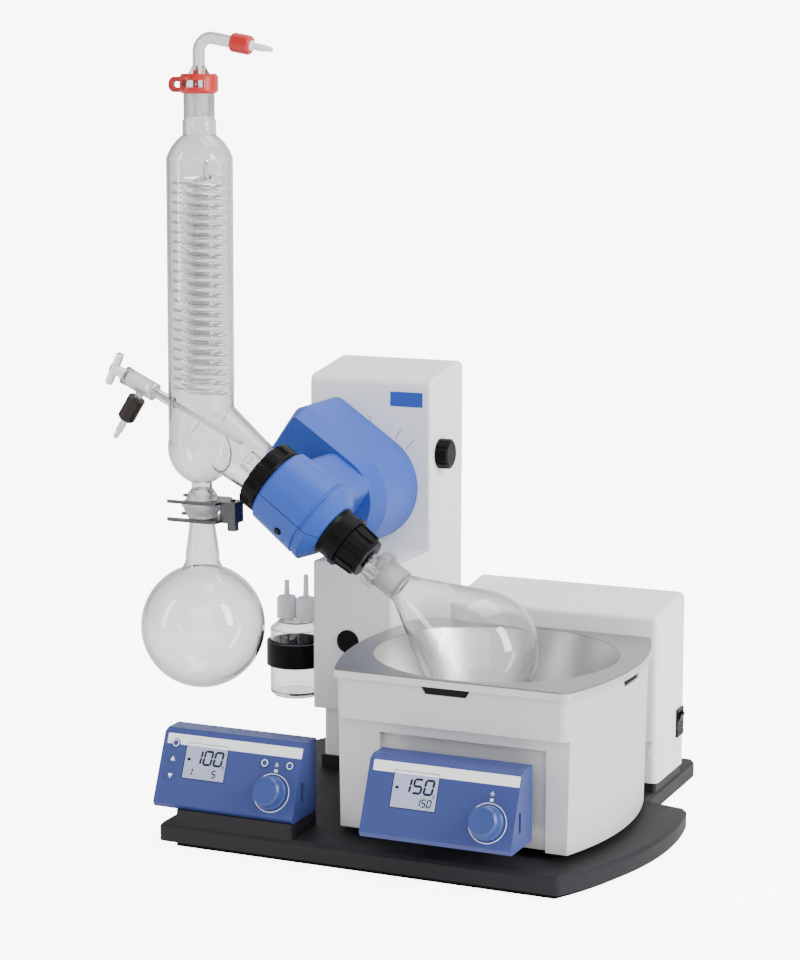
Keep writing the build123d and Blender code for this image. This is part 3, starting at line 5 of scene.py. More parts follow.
import bpy
import numpy as np
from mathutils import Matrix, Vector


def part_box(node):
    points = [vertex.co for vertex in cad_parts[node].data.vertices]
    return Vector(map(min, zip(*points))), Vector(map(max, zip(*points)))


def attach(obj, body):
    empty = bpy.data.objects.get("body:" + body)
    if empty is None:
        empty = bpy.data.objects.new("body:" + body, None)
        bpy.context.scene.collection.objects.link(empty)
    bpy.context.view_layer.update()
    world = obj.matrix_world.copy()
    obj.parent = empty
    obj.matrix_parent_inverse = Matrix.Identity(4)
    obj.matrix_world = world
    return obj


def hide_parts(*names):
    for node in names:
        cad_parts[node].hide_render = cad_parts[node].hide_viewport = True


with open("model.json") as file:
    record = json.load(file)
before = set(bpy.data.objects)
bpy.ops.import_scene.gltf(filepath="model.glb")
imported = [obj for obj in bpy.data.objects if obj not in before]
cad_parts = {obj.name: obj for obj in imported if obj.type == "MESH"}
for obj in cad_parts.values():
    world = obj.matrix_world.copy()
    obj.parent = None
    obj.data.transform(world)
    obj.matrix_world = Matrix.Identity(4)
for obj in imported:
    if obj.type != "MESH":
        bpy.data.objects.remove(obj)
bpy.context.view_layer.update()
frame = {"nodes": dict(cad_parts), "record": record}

MM = 0.001
TAU = 2 * np.pi
NODES = frame["nodes"]

across = np.array([1.0, 0, 0])
inward = np.array([0, 1.0, 0])
up = np.array([0, 0, 1.0])
PANEL_LEAN = math.radians(23.0)  # of the consoles' faces
PRINT = 0.12  # thickness of a printed mark, in millimetres


def middle(name):
    """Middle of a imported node's box, in millimetres."""
    low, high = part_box(name)
    return (np.array(low) + np.array(high)) / 2 / MM


def corners(name):
    """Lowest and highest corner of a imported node, in millimetres."""
    low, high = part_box(name)
    return np.array(low) / MM, np.array(high) / MM


# Mesh making
def mesh_object(name, points, faces, material, body, smooth=True):
    """Object at the origin from points in millimetres and a list of faces."""
    mesh = bpy.data.meshes.new(name)
    mesh.from_pydata((np.asarray(points) * MM).tolist(), [], faces)
    mesh.polygons.foreach_set("use_smooth", np.full(len(mesh.polygons), smooth))
    mesh.materials.append(material)
    mesh.update()
    piece = bpy.data.objects.new(name, mesh)
    bpy.context.scene.collection.objects.link(piece)
    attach(piece, body)
    return piece


def grid_faces(rows, columns, wrap=True, start=0):
    """Quads of a rows x columns grid, closed across the columns where wrap is set."""
    spans = columns if wrap else columns - 1
    i, j = np.meshgrid(np.arange(rows - 1), np.arange(spans), indexing="ij")
    k = (j + 1) % columns
    quads = np.stack([i * columns + j, i * columns + k, (i + 1) * columns + k, (i + 1) * columns + j], -1)
    return (quads.reshape(-1, 4) + start).tolist()


def tube_surface(path, radius, sides=14):
    """Round tube: a circle carried along a path, square to its tangent, with closed ends."""
    path = np.asarray(path, float)
    radius = np.broadcast_to(radius, len(path))
    tangent = np.gradient(path, axis=0)
    tangent /= np.linalg.norm(tangent, axis=1, keepdims=True)
    guide = np.where(np.abs(tangent[:, 2:3]) > 0.9, [[1.0, 0, 0]], [[0, 0, 1.0]])
    side = np.cross(tangent, guide)
    side /= np.linalg.norm(side, axis=1, keepdims=True)
    lift = np.cross(side, tangent)
    angle = np.linspace(0, TAU, sides, endpoint=False)
    ring = np.cos(angle)[None, :, None] * side[:, None] + np.sin(angle)[None, :, None] * lift[:, None]
    points = (path[:, None] + radius[:, None, None] * ring).reshape(-1, 3)
    faces = grid_faces(len(path), sides)
    count = len(points)
    caps = [list(range(sides))[::-1], list(range(count - sides, count))]
    return points, faces + caps


def joined(parts):
    """Several (points, faces) surfaces as one."""
    starts = np.cumsum([0] + [len(points) for points, _ in parts[:-1]])
    faces = [[int(i + start) for i in face] for (_, group), start in zip(parts, starts) for face in group]
    return np.concatenate([points for points, _ in parts]), faces


def rounded_outline(width, height, corner, steps=6):
    """Rounded rectangle about the origin, anticlockwise: four quarter circles."""
    angle = np.linspace(0, np.pi / 2, steps)
    quarters = []
    for turn, (sx, sy) in enumerate(((1, 1), (-1, 1), (-1, -1), (1, -1))):
        centre = np.array([sx * (width / 2 - corner), sy * (height / 2 - corner)])
        sweep = angle + turn * np.pi / 2
        quarters.append(centre + corner * np.stack([np.cos(sweep), np.sin(sweep)], -1))
    return np.concatenate(quarters)


def ring_plate(inner, outer, height, sides=64):
    """Flat ring: a rectangle section turned about the local Z axis."""
    angle = np.linspace(0, TAU, sides, endpoint=False)
    section = np.array([[inner, 0], [outer, 0], [outer, height], [inner, height], [inner, 0]])
    radius = section[:, 0][:, None]
    level = np.broadcast_to(section[:, 1][:, None], (len(section), sides))
    points = np.stack([radius * np.cos(angle), radius * np.sin(angle), level], -1).reshape(-1, 3)
    return points, grid_faces(len(section), sides)


def plate(outline, height):
    """Thin plate: an outline in the local XY plane raised to a height."""
    count = len(outline)
    flat = np.column_stack([outline, np.zeros(count)])
    points = np.concatenate([flat, flat + [0, 0, height]])
    faces = grid_faces(2, count)
    return points, faces + [list(range(count))[::-1], list(range(count, 2 * count))]


def placed(surface, origin, x_axis, y_axis):
    """A local surface set on a plane that two axes span, with its Z along their cross product."""
    points, faces = surface
    basis = np.stack([x_axis, y_axis, np.cross(x_axis, y_axis)])
    return points @ basis + np.asarray(origin, float), faces


def shifted(surface, x, y):
    """A local surface moved in its own plane."""
    return surface[0] + [x, y, 0], surface[1]


def turned_over(surface):
    """The same surface with its faces looking the other way, as inside a tube."""
    return surface[0], [face[::-1] for face in surface[1]]


# Shader helpers
def add(tree, kind, **inputs):
    """New shader node; keyword names are input names, or attributes where no input has that name."""
    new = tree.nodes.new(kind)
    for key, value in inputs.items():
        title = key.replace("_", " ")
        if title in new.inputs:
            new.inputs[title].default_value = value
        else:
            setattr(new, key, value)
    return new


def shared_group(name, inputs, outputs):
    """Empty shader node group with named sockets."""
    tree = bpy.data.node_groups.new(name, "ShaderNodeTree")
    for title, kind, value in inputs:
        socket = tree.interface.new_socket(title, in_out="INPUT", socket_type=kind)
        socket.default_value = value
    for title, kind in outputs:
        tree.interface.new_socket(title, in_out="OUTPUT", socket_type=kind)
    return tree, tree.nodes.new("NodeGroupInput"), tree.nodes.new("NodeGroupOutput")


def make_finish_group():
    """Moulded or sprayed skin: fine grain in the bump, broad drift in colour and roughness."""
    tree, source, sink = shared_group(
        "skin_finish",
        [
            ("Colour", "NodeSocketColor", (0.5, 0.5, 0.5, 1)), ("Drift", "NodeSocketFloat", 0.06),
            ("Roughness", "NodeSocketFloat", 0.4), ("Grain Scale", "NodeSocketFloat", 900.0),
            ("Grain Depth", "NodeSocketFloat", 0.1),
        ],
        [("Colour", "NodeSocketColor"), ("Roughness", "NodeSocketFloat"), ("Normal", "NodeSocketVector")],
    )
    link = tree.links.new
    place = add(tree, "ShaderNodeTexCoord")
    broad = add(tree, "ShaderNodeTexNoise", Scale=14.0, Detail=4.0, Roughness=0.6)
    grain = add(tree, "ShaderNodeTexNoise", Detail=2.0, Roughness=0.5)
    link(place.outputs["Object"], broad.inputs["Vector"])
    link(place.outputs["Object"], grain.inputs["Vector"])
    link(source.outputs["Grain Scale"], grain.inputs["Scale"])
    centred = add(tree, "ShaderNodeMath", operation="SUBTRACT")
    centred.inputs[1].default_value = 0.5
    link(broad.outputs["Fac"], centred.inputs[0])
    shift = add(tree, "ShaderNodeMath", operation="MULTIPLY")
    link(centred.outputs[0], shift.inputs[0])
    link(source.outputs["Drift"], shift.inputs[1])
    value = add(tree, "ShaderNodeMath", operation="ADD")
    value.inputs[1].default_value = 1.0
    link(shift.outputs[0], value.inputs[0])
    tone = add(tree, "ShaderNodeHueSaturation")
    link(source.outputs["Colour"], tone.inputs["Color"])
    link(value.outputs[0], tone.inputs["Value"])
    rough = add(tree, "ShaderNodeMath", operation="ADD")
    link(source.outputs["Roughness"], rough.inputs[0])
    link(shift.outputs[0], rough.inputs[1])
    bump = add(tree, "ShaderNodeBump", Distance=0.0004)
    link(source.outputs["Grain Depth"], bump.inputs["Strength"])
    link(grain.outputs["Fac"], bump.inputs["Height"])
    link(tone.outputs["Color"], sink.inputs["Colour"])
    link(rough.outputs[0], sink.inputs["Roughness"])
    link(bump.outputs["Normal"], sink.inputs["Normal"])
    return tree


def make_brush_group():
    """Brushed metal: noise stretched along one direction, as bump and as roughness streaks."""
    tree, source, sink = shared_group(
        "brush_lines",
        [
            ("Vector", "NodeSocketVector", (0, 0, 0)), ("Colour", "NodeSocketColor", (0.6, 0.6, 0.6, 1)),
            ("Roughness", "NodeSocketFloat", 0.25), ("Depth", "NodeSocketFloat", 0.08),
        ],
        [("Colour", "NodeSocketColor"), ("Roughness", "NodeSocketFloat"), ("Normal", "NodeSocketVector")],
    )
    link = tree.links.new
    lines = add(tree, "ShaderNodeTexNoise", Scale=1.0, Detail=3.0, Roughness=0.6)
    link(source.outputs["Vector"], lines.inputs["Vector"])
    spread = add(tree, "ShaderNodeMapRange")
    spread.inputs["To Min"].default_value = -0.06
    spread.inputs["To Max"].default_value = 0.08
    link(lines.outputs["Fac"], spread.inputs["Value"])
    rough = add(tree, "ShaderNodeMath", operation="ADD")
    link(source.outputs["Roughness"], rough.inputs[0])
    link(spread.outputs[0], rough.inputs[1])
    value = add(tree, "ShaderNodeMath", operation="ADD")
    value.inputs[1].default_value = 1.0
    link(spread.outputs[0], value.inputs[0])
    tone = add(tree, "ShaderNodeHueSaturation")
    link(source.outputs["Colour"], tone.inputs["Color"])
    link(value.outputs[0], tone.inputs["Value"])
    bump = add(tree, "ShaderNodeBump", Distance=0.0002)
    link(source.outputs["Depth"], bump.inputs["Strength"])
    link(lines.outputs["Fac"], bump.inputs["Height"])
    link(tone.outputs["Color"], sink.inputs["Colour"])
    link(rough.outputs[0], sink.inputs["Roughness"])
    link(bump.outputs["Normal"], sink.inputs["Normal"])
    return tree


def make_band_group():
    """Mask that is one between two distances along a direction, measured in metres from a point."""
    tree, source, sink = shared_group(
        "ground_band",
        [
            ("Point", "NodeSocketVector", (0, 0, 0)), ("Direction", "NodeSocketVector", (0, 0, 1)),
            ("Start", "NodeSocketFloat", 0.0), ("End", "NodeSocketFloat", 0.1),
        ],
        [("Mask", "NodeSocketFloat")],
    )
    link = tree.links.new
    place = add(tree, "ShaderNodeTexCoord")
    away = add(tree, "ShaderNodeVectorMath", operation="SUBTRACT")
    link(place.outputs["Object"], away.inputs[0])
    link(source.outputs["Point"], away.inputs[1])
    along = add(tree, "ShaderNodeVectorMath", operation="DOT_PRODUCT")
    link(away.outputs[0], along.inputs[0])
    link(source.outputs["Direction"], along.inputs[1])
    after = add(tree, "ShaderNodeMath", operation="GREATER_THAN")
    link(along.outputs["Value"], after.inputs[0])
    link(source.outputs["Start"], after.inputs[1])
    before = add(tree, "ShaderNodeMath", operation="LESS_THAN")
    link(along.outputs["Value"], before.inputs[0])
    link(source.outputs["End"], before.inputs[1])
    mask = add(tree, "ShaderNodeMath", operation="MULTIPLY")
    link(after.outputs[0], mask.inputs[0])
    link(before.outputs[0], mask.inputs[1])
    link(mask.outputs[0], sink.inputs["Mask"])
    return tree


SKIN = make_finish_group()
BRUSH = make_brush_group()
BAND = make_band_group()
COAT_ROUGHNESS = 0.12
GLASS_IOR = 1.47
EDGE_SHADE_POWER = 2.8  # how close to its outline a glass piece darkens
GROUND_ROUGHNESS = 0.42
ABOVE_ALL = 1.0  # a height over every piece, in metres


def new_material(name):
    """Material with a Principled shader; returns the material, its tree and the shader."""
    material = bpy.data.materials.new(name)
    material.use_nodes = True
    tree = material.node_tree
    return material, tree, tree.nodes["Principled BSDF"]


def blend(tree, factor, first, second):
    """Colour that goes from the first to the second as the factor goes from zero to one."""
    mix = add(tree, "ShaderNodeMix", data_type="RGBA")
    colours = {"A": first, "B": second}
    for socket in mix.inputs:
        if socket.type == "RGBA":
            socket.default_value = (*colours[socket.name], 1)
    tree.links.new(factor, mix.inputs["Factor"])
    return next(socket for socket in mix.outputs if socket.type == "RGBA")


def skin(name, colour, roughness, drift=0.05, scale=1400.0, depth=0.06, coat=0.0, gloss=0.5):
    """Moulded plastic, paint or rubber with the shared skin finish."""
    material, tree, shader = new_material(name)
    finish = add(tree, "ShaderNodeGroup", node_tree=SKIN)
    finish.inputs["Colour"].default_value = (*colour, 1)
    finish.inputs["Drift"].default_value = drift
    finish.inputs["Roughness"].default_value = roughness
    finish.inputs["Grain Scale"].default_value = scale
    finish.inputs["Grain Depth"].default_value = depth
    tree.links.new(finish.outputs["Colour"], shader.inputs["Base Color"])
    tree.links.new(finish.outputs["Roughness"], shader.inputs["Roughness"])
    tree.links.new(finish.outputs["Normal"], shader.inputs["Normal"])
    shader.inputs["Specular IOR Level"].default_value = gloss
    shader.inputs["Coat Weight"].default_value = coat
    shader.inputs["Coat Roughness"].default_value = COAT_ROUGHNESS
    return material


def glass(name, bands=(), tint=(1.0, 1.0, 1.0), edge_shade=(0.012, 0.013, 0.015), reach=0.56, matt=0.0):
    """Clear laboratory glass, ground matt inside the given bands of (point, direction, start, end).

    Painted shade: the base colour darkens towards each piece's outline, where the view grazes the wall.
    """
    material, tree, shader = new_material(name)
    # Painted shade on the outline: facing to the view, raised to a power, blends the base colour into the
    # dark edge colour
    glance = add(tree, "ShaderNodeLayerWeight", Blend=reach)
    depth = add(tree, "ShaderNodeMath", operation="POWER")
    depth.inputs[1].default_value = EDGE_SHADE_POWER
    tree.links.new(glance.outputs["Facing"], depth.inputs[0])
    tree.links.new(blend(tree, depth.outputs[0], tint, edge_shade), shader.inputs["Base Color"])
    shader.inputs["Transmission Weight"].default_value = 1.0
    shader.inputs["IOR"].default_value = GLASS_IOR
    shader.inputs["Roughness"].default_value = matt
    total = None
    for point, direction, start, end in bands:
        band = add(tree, "ShaderNodeGroup", node_tree=BAND)
        band.inputs["Point"].default_value = tuple(np.asarray(point) * MM)
        band.inputs["Direction"].default_value = tuple(direction)
        band.inputs["Start"].default_value = start * MM
        band.inputs["End"].default_value = end * MM
        if total is None:
            total = band.outputs["Mask"]
        else:
            either = add(tree, "ShaderNodeMath", operation="MAXIMUM")
            tree.links.new(total, either.inputs[0])
            tree.links.new(band.outputs["Mask"], either.inputs[1])
            total = either.outputs[0]
    if total is not None:
        ground = add(tree, "ShaderNodeMapRange")
        ground.inputs["To Min"].default_value = 0.0
        ground.inputs["To Max"].default_value = GROUND_ROUGHNESS
        tree.links.new(total, ground.inputs["Value"])
        tree.links.new(ground.outputs[0], shader.inputs["Roughness"])
    return material


def brushed(name, colour, roughness, stretch, centre=None, deck=None):
    """Brushed steel: straight lines, or lines round an upright axis where a centre is given.

    A deck is (colour, height): from that height up the steel has the other colour.
    """
    material, tree, shader = new_material(name)
    place = add(tree, "ShaderNodeTexCoord")
    vector = place.outputs["Object"]
    if centre is not None:
        moved = add(tree, "ShaderNodeMapping")
        moved.inputs["Location"].default_value = tuple(-np.asarray(centre) * MM)
        tree.links.new(vector, moved.inputs["Vector"])
        split = add(tree, "ShaderNodeSeparateXYZ")
        tree.links.new(moved.outputs[0], split.inputs[0])
        flat = add(tree, "ShaderNodeCombineXYZ")
        tree.links.new(split.outputs[0], flat.inputs[0])
        tree.links.new(split.outputs[1], flat.inputs[1])
        reach = add(tree, "ShaderNodeVectorMath", operation="LENGTH")
        tree.links.new(flat.outputs[0], reach.inputs[0])
        lines = add(tree, "ShaderNodeCombineXYZ")
        tree.links.new(reach.outputs["Value"], lines.inputs[0])
        tree.links.new(split.outputs[2], lines.inputs[1])
        vector = lines.outputs[0]
    scaled = add(tree, "ShaderNodeMapping")
    scaled.inputs["Scale"].default_value = stretch
    tree.links.new(vector, scaled.inputs["Vector"])
    brush = add(tree, "ShaderNodeGroup", node_tree=BRUSH)
    brush.inputs["Colour"].default_value = (*colour, 1)
    brush.inputs["Roughness"].default_value = roughness
    if deck is not None:
        level = add(tree, "ShaderNodeGroup", node_tree=BAND)
        level.inputs["Start"].default_value = deck[1] * MM
        level.inputs["End"].default_value = ABOVE_ALL
        tree.links.new(blend(tree, level.outputs["Mask"], colour, deck[0]), brush.inputs["Colour"])
    tree.links.new(scaled.outputs[0], brush.inputs["Vector"])
    tree.links.new(brush.outputs["Colour"], shader.inputs["Base Color"])
    tree.links.new(brush.outputs["Roughness"], shader.inputs["Roughness"])
    tree.links.new(brush.outputs["Normal"], shader.inputs["Normal"])
    shader.inputs["Metallic"].default_value = 1.0
    return material


# Finishes
bath_mid = middle("bath_bowl")
condenser_mid = middle("receiver_flask")  # the condenser stands on the flask's axis
flask_axis = next(j for j in frame["record"]["behaviour"]["joints"] if j["name"] == "flask_spin")
head_dir = np.array(flask_axis["axis"], float)
head_foot = np.array(flask_axis["pos_m"], float) / MM
socket_foot = (0, 0, corners("socket_clip")[0][2])

# Ground joints, as (point, direction, start, end) in millimetres
TOP_SOCKET = (socket_foot, up, -24, 8)
TOP_CONE = (socket_foot, up, -24, 4)
BRANCH_END = (head_foot, head_dir, -50, -40)
BALL = ((0, 0, corners("condenser")[0][2]), up, -1, 22)
BALL_CUP = ((0, 0, corners("receiver_flask")[1][2]), up, -17, 1)
STOPCOCK_BARREL = ((condenser_mid[0] - 54, 0, 0), across, -60, 0)
FLASK_CONE = (head_foot, head_dir, 108, 140)

BLUE = skin("blue_plastic", (0.030, 0.080, 0.39), 0.44, 0.06, 1600, 0.06, gloss=0.28)
BLUE_CONSOLE = skin("blue_console", (0.036, 0.054, 0.20), 0.36, 0.05, 1600, 0.05, gloss=0.35)
KNOB_BLUE = skin("blue_knob", (0.034, 0.060, 0.215), 0.33, 0.04, 1500, 0.05, gloss=0.35)
WHITE = skin("white_paint", (0.82, 0.825, 0.835), 0.42, 0.03, 1100, 0.07)
BATH_GREY = skin("bath_paint", (0.56, 0.562, 0.572), 0.45, 0.03, 1100, 0.08)
ANTHRACITE = skin("base_paint", (0.0165, 0.0155, 0.0185), 0.6, 0.12, 700, 0.2, gloss=0.2)
RUBBER = skin("rubber", (0.004, 0.004, 0.004), 0.7, 0.1, 900, 0.25, gloss=0.2)
BLACK = skin("black_plastic", (0.0028, 0.0028, 0.0028), 0.42, 0.08, 1200, 0.08, gloss=0.1)
GREY = skin("grey_plastic", (0.30, 0.31, 0.33), 0.45, 0.05, 1200, 0.08)
PALE = skin("white_plastic", (0.82, 0.83, 0.84), 0.4, 0.03, 1200, 0.05)
RED = skin("red_plastic", (0.46, 0.006, 0.004), 0.36, 0.05, 1200, 0.05, coat=0.1)
BROWN = skin("brown_plastic", (0.016, 0.009, 0.006), 0.45, 0.08, 1200, 0.08, gloss=0.3)
LCD = skin("lcd_window", (0.36, 0.40, 0.56), 0.2, 0.02, 600, 0.01, coat=0.4)
LCD_DARK = skin("lcd_segments", (0.008, 0.01, 0.03), 0.4, 0.02, 600, 0.01, gloss=0.2)
PRINT_WHITE = skin("white_print", (0.86, 0.87, 0.90), 0.5, 0.02, 900, 0.03)
DARK_STEEL = brushed("dark_steel", (0.10, 0.10, 0.105), 0.35, (60, 900, 60))
STEEL = brushed("bright_steel", (0.62, 0.63, 0.64), 0.28, (40, 40, 2400))
BOWL_STEEL = brushed(
    "bowl_steel", (0.60, 0.585, 0.57), 0.36, (1800, 1800, 1), bath_mid,
    deck=((0.34, 0.328, 0.315), corners("bath_bowl")[1][2] - 1.0),
)
CLEAR = glass("clear_glass")
COIL_GLASS = glass("coil_glass", tint=(0.95, 0.955, 0.96), edge_shade=(0.01, 0.011, 0.013), reach=0.62)
CONDENSER_GLASS = glass("condenser_glass", [TOP_SOCKET, BRANCH_END, BALL, STOPCOCK_BARREL])
RECEIVER_GLASS = glass("receiver_glass", [BALL_CUP])
STOPPER_GLASS = glass("stopper_glass", [TOP_CONE])
JOINT_GLASS = glass("joint_glass", [FLASK_CONE])
CLIP_CLEAR = glass("clip_plastic", tint=(0.92, 0.93, 0.94), edge_shade=(0.25, 0.26, 0.27), matt=0.22)

FINISH = {
    "blue_plastic": BLUE, "white_paint": WHITE, "bath_grey": BATH_GREY, "anthracite": ANTHRACITE,
    "rubber_black": RUBBER, "black_plastic": BLACK, "grey_plastic": GREY, "white_plastic": PALE,
    "red_plastic": RED, "brown_plastic": BROWN, "clear_glass": CLEAR, "clear_plastic": CLIP_CLEAR,
    "lcd_window": LCD, "bright_steel": STEEL, "dark_steel": DARK_STEEL,
}
OWN_FINISH = {
    "bath_bowl": BOWL_STEEL, "condenser": CONDENSER_GLASS, "vacuum_elbow": STOPPER_GLASS,
    "vapour_tube": JOINT_GLASS, "evaporating_flask": JOINT_GLASS, "drive_console": BLUE_CONSOLE,
    "bath_console": BLUE_CONSOLE, "drive_knob": KNOB_BLUE, "bath_knob": KNOB_BLUE,
    "receiver_flask": RECEIVER_GLASS, "stopcock_key": CLEAR,
    **{f"{key}_key": BLUE_CONSOLE for key in ("timer", "up", "down", "mode", "set")},
}
for part in frame["record"]["subparts"]:
    shown = NODES[part["node"]]
    shown.data.materials.clear()
    shown.data.materials.append(OWN_FINISH.get(part["node"], FINISH[part["material_slot"]]))


# Cooling coil: two windings at the real pitch, joined at the bottom and led out at the back
COIL_TUBE = 3.2  # radius of the outer winding's tube
INNER_TUBE, LINK_TUBE = COIL_TUBE * 0.9, COIL_TUBE * 0.85
OUTER_BORE, INNER_BORE = COIL_TUBE * 0.66, COIL_TUBE * 0.58
COIL_CLEARANCE, COIL_HEADROOM = 0.3, 22.0
COIL_TURNS = 22
TURN_STEPS = 44
OUTER_COIL, INNER_COIL = 26.0, 14.0
OUTER_LEAD_RISE, INNER_LEAD_RISE = 4.0, 18.0
LEAD_STEPS = 24
LINK_STEPS = 8
TUBE_SIDES, BORE_SIDES = 12, 10
coil_low, coil_high = corners("cooling_coils")
axis_x, axis_y = condenser_mid[:2]
coil_bottom = coil_low[2] + COIL_TUBE + COIL_CLEARANCE
coil_top = coil_high[2] - COIL_HEADROOM
lead_end = coil_high[1]


def winding(radius):
    """Helix about the condenser axis that starts and ends at the back."""
    angle = np.linspace(0, TAU * COIL_TURNS, COIL_TURNS * TURN_STEPS + 1)
    height = coil_bottom + (coil_top - coil_bottom) * angle / angle[-1]
    return np.stack([axis_x + radius * np.sin(angle), axis_y + radius * np.cos(angle), height], -1)


def lead(radius, rise):
    """Glass lead that rises from a winding's top end and runs out through the back of the jacket."""
    run = np.linspace(0, 1, LEAD_STEPS)
    start = axis_y + radius
    back = start + (lead_end - start) * np.clip((run - 0.2) / 0.8, 0, 1)
    height = coil_top + rise * np.sin(np.clip(run * 3, 0, 1) * np.pi / 2)
    return np.stack([np.full(LEAD_STEPS, axis_x), back, height], -1)


outer_path, inner_path = winding(OUTER_COIL), winding(INNER_COIL)
nozzle = COIL_TUBE * (0.85 + 0.3 * np.clip(np.linspace(-2, 1, LEAD_STEPS), 0, 1))
link = np.stack([
    np.full(LINK_STEPS, axis_x), np.linspace(axis_y + INNER_COIL, axis_y + OUTER_COIL, LINK_STEPS),
    np.full(LINK_STEPS, coil_bottom),
], -1)
coil_points, coil_faces = joined([
    tube_surface(outer_path, COIL_TUBE, TUBE_SIDES),
    tube_surface(inner_path, INNER_TUBE, TUBE_SIDES),
    turned_over(tube_surface(outer_path, OUTER_BORE, BORE_SIDES)),
    turned_over(tube_surface(inner_path, INNER_BORE, BORE_SIDES)),
    tube_surface(link, LINK_TUBE, TUBE_SIDES),
    tube_surface(lead(OUTER_COIL, OUTER_LEAD_RISE), nozzle, TUBE_SIDES),
    tube_surface(lead(INNER_COIL, INNER_LEAD_RISE), nozzle, TUBE_SIDES),
])
coil = mesh_object("glass_coil", coil_points, coil_faces, COIL_GLASS, "head")
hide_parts("cooling_coils")


# Console prints, in panel millimetres from the display's middle
panel_up = np.array([0, math.sin(PANEL_LEAN), math.cos(PANEL_LEAN)])
panel_out = np.array([0, -math.cos(PANEL_LEAN), math.sin(PANEL_LEAN)])
DISPLAY_STAND_OFF = 1.0
KEY_STAND_OFF = 2.36
STRIP_SIZE, STRIP_PLACE = (150, 10.5), (29, 20.3)
WINDOW_SIZE, WINDOW_LINE = (47.6, 36.6), 0.7
BIG_FIGURE = {"width": 8.2, "height": 13.4, "thick": 2.2, "gap": 3.4}
SMALL_FIGURE = {"width": 3.6, "height": 6.8, "thick": 1.2, "gap": 2.0}
BIG_PLACE, SMALL_LINE = (-14, -2.2), -14.2
POINTER_SIZE, POINTER_PLACE = (3.4, 2.6), (-18.5, 1.5)
UNIT_SIZE, UNIT_PLACE, UNIT_STEP = (2.6, 0.8), (20.0, -2.5), 2.2
KNOB_RING, KNOB_PLACE = (18.6, 19.3), (77.5, -21.5)
SYMBOL_X, SYMBOL_HEIGHTS = 78.5, (6.2, 7.6, 0.6)
SYMBOL_RING, STEM_SIZE, KEY_SIZE = (1.2, 1.7), (0.6, 2.4), (3.6, 2.6)
CARD_SLOT_SIZE, CARD_SLOT_DEPTH, CARD_SLOT_PLACE = (4.6, 19.6), 2.9, (24, 26)
SLANT = 0.12
SEGMENTS = {"0": "abcdef", "1": "bc", "5": "afgcd"}


def bar(x0, y0, x1, y1, thick):
    """Hexagonal bar between two points, as one display segment."""
    a = np.array([x0, y0])
    b = np.array([x1, y1])
    along = (b - a) / np.linalg.norm(b - a)
    side = np.array([-along[1], along[0]]) * thick / 2
    inset = along * thick / 2
    return np.array([a, a + inset - side, b - inset - side, b, b - inset + side, a + inset + side])


def digit(figure, x, y, width, height, thick):
    """Seven-segment figure as thin plates, lower left corner at x, y."""
    half = height / 2
    ends = {
        "a": (0, height, width, height), "b": (width, half, width, height), "c": (width, 0, width, half),
        "d": (0, 0, width, 0), "e": (0, 0, 0, half), "f": (0, half, 0, height), "g": (0, half, width, half),
    }
    corner = np.array([x, y, x, y])
    bars = [bar(*(corner + ends[segment]), thick) for segment in SEGMENTS[figure]]
    return [plate(outline + SLANT * (outline[:, 1:] - y) * [1, 0], PRINT) for outline in bars]


def number(figures, x, y, width, height, thick, gap):
    """Row of seven-segment figures."""
    starts = [x + i * (width + gap) for i in range(len(figures))]
    return [part for f, start in zip(figures, starts) for part in digit(f, start, y, width, height, thick)]


def sheet(width, height, corner, x, y):
    """Printed rounded rectangle about x, y."""
    return shifted(plate(rounded_outline(width, height, corner), PRINT), x, y)


def panel_print(name, parts, origin, material, body):
    """Prints laid on a panel face, with their local middle at the origin that is given."""
    points, faces = placed(joined(parts), origin, across, panel_up)
    piece = mesh_object(name, points, faces, material, body, smooth=False)
    return piece


def border(width, height, thick):
    """Raised line round a rounded rectangle: the loops inside and outside it, closed as a ring."""
    outside = rounded_outline(width, height, 1.2)
    inside = rounded_outline(width - 2 * thick, height - 2 * thick, 0.8)
    loops = [(outside, 0), (outside, PRINT), (inside, PRINT), (inside, 0), (outside, 0)]
    points = np.concatenate([np.column_stack([loop, np.full(len(loop), level)]) for loop, level in loops])
    return points, grid_faces(len(loops), len(outside))


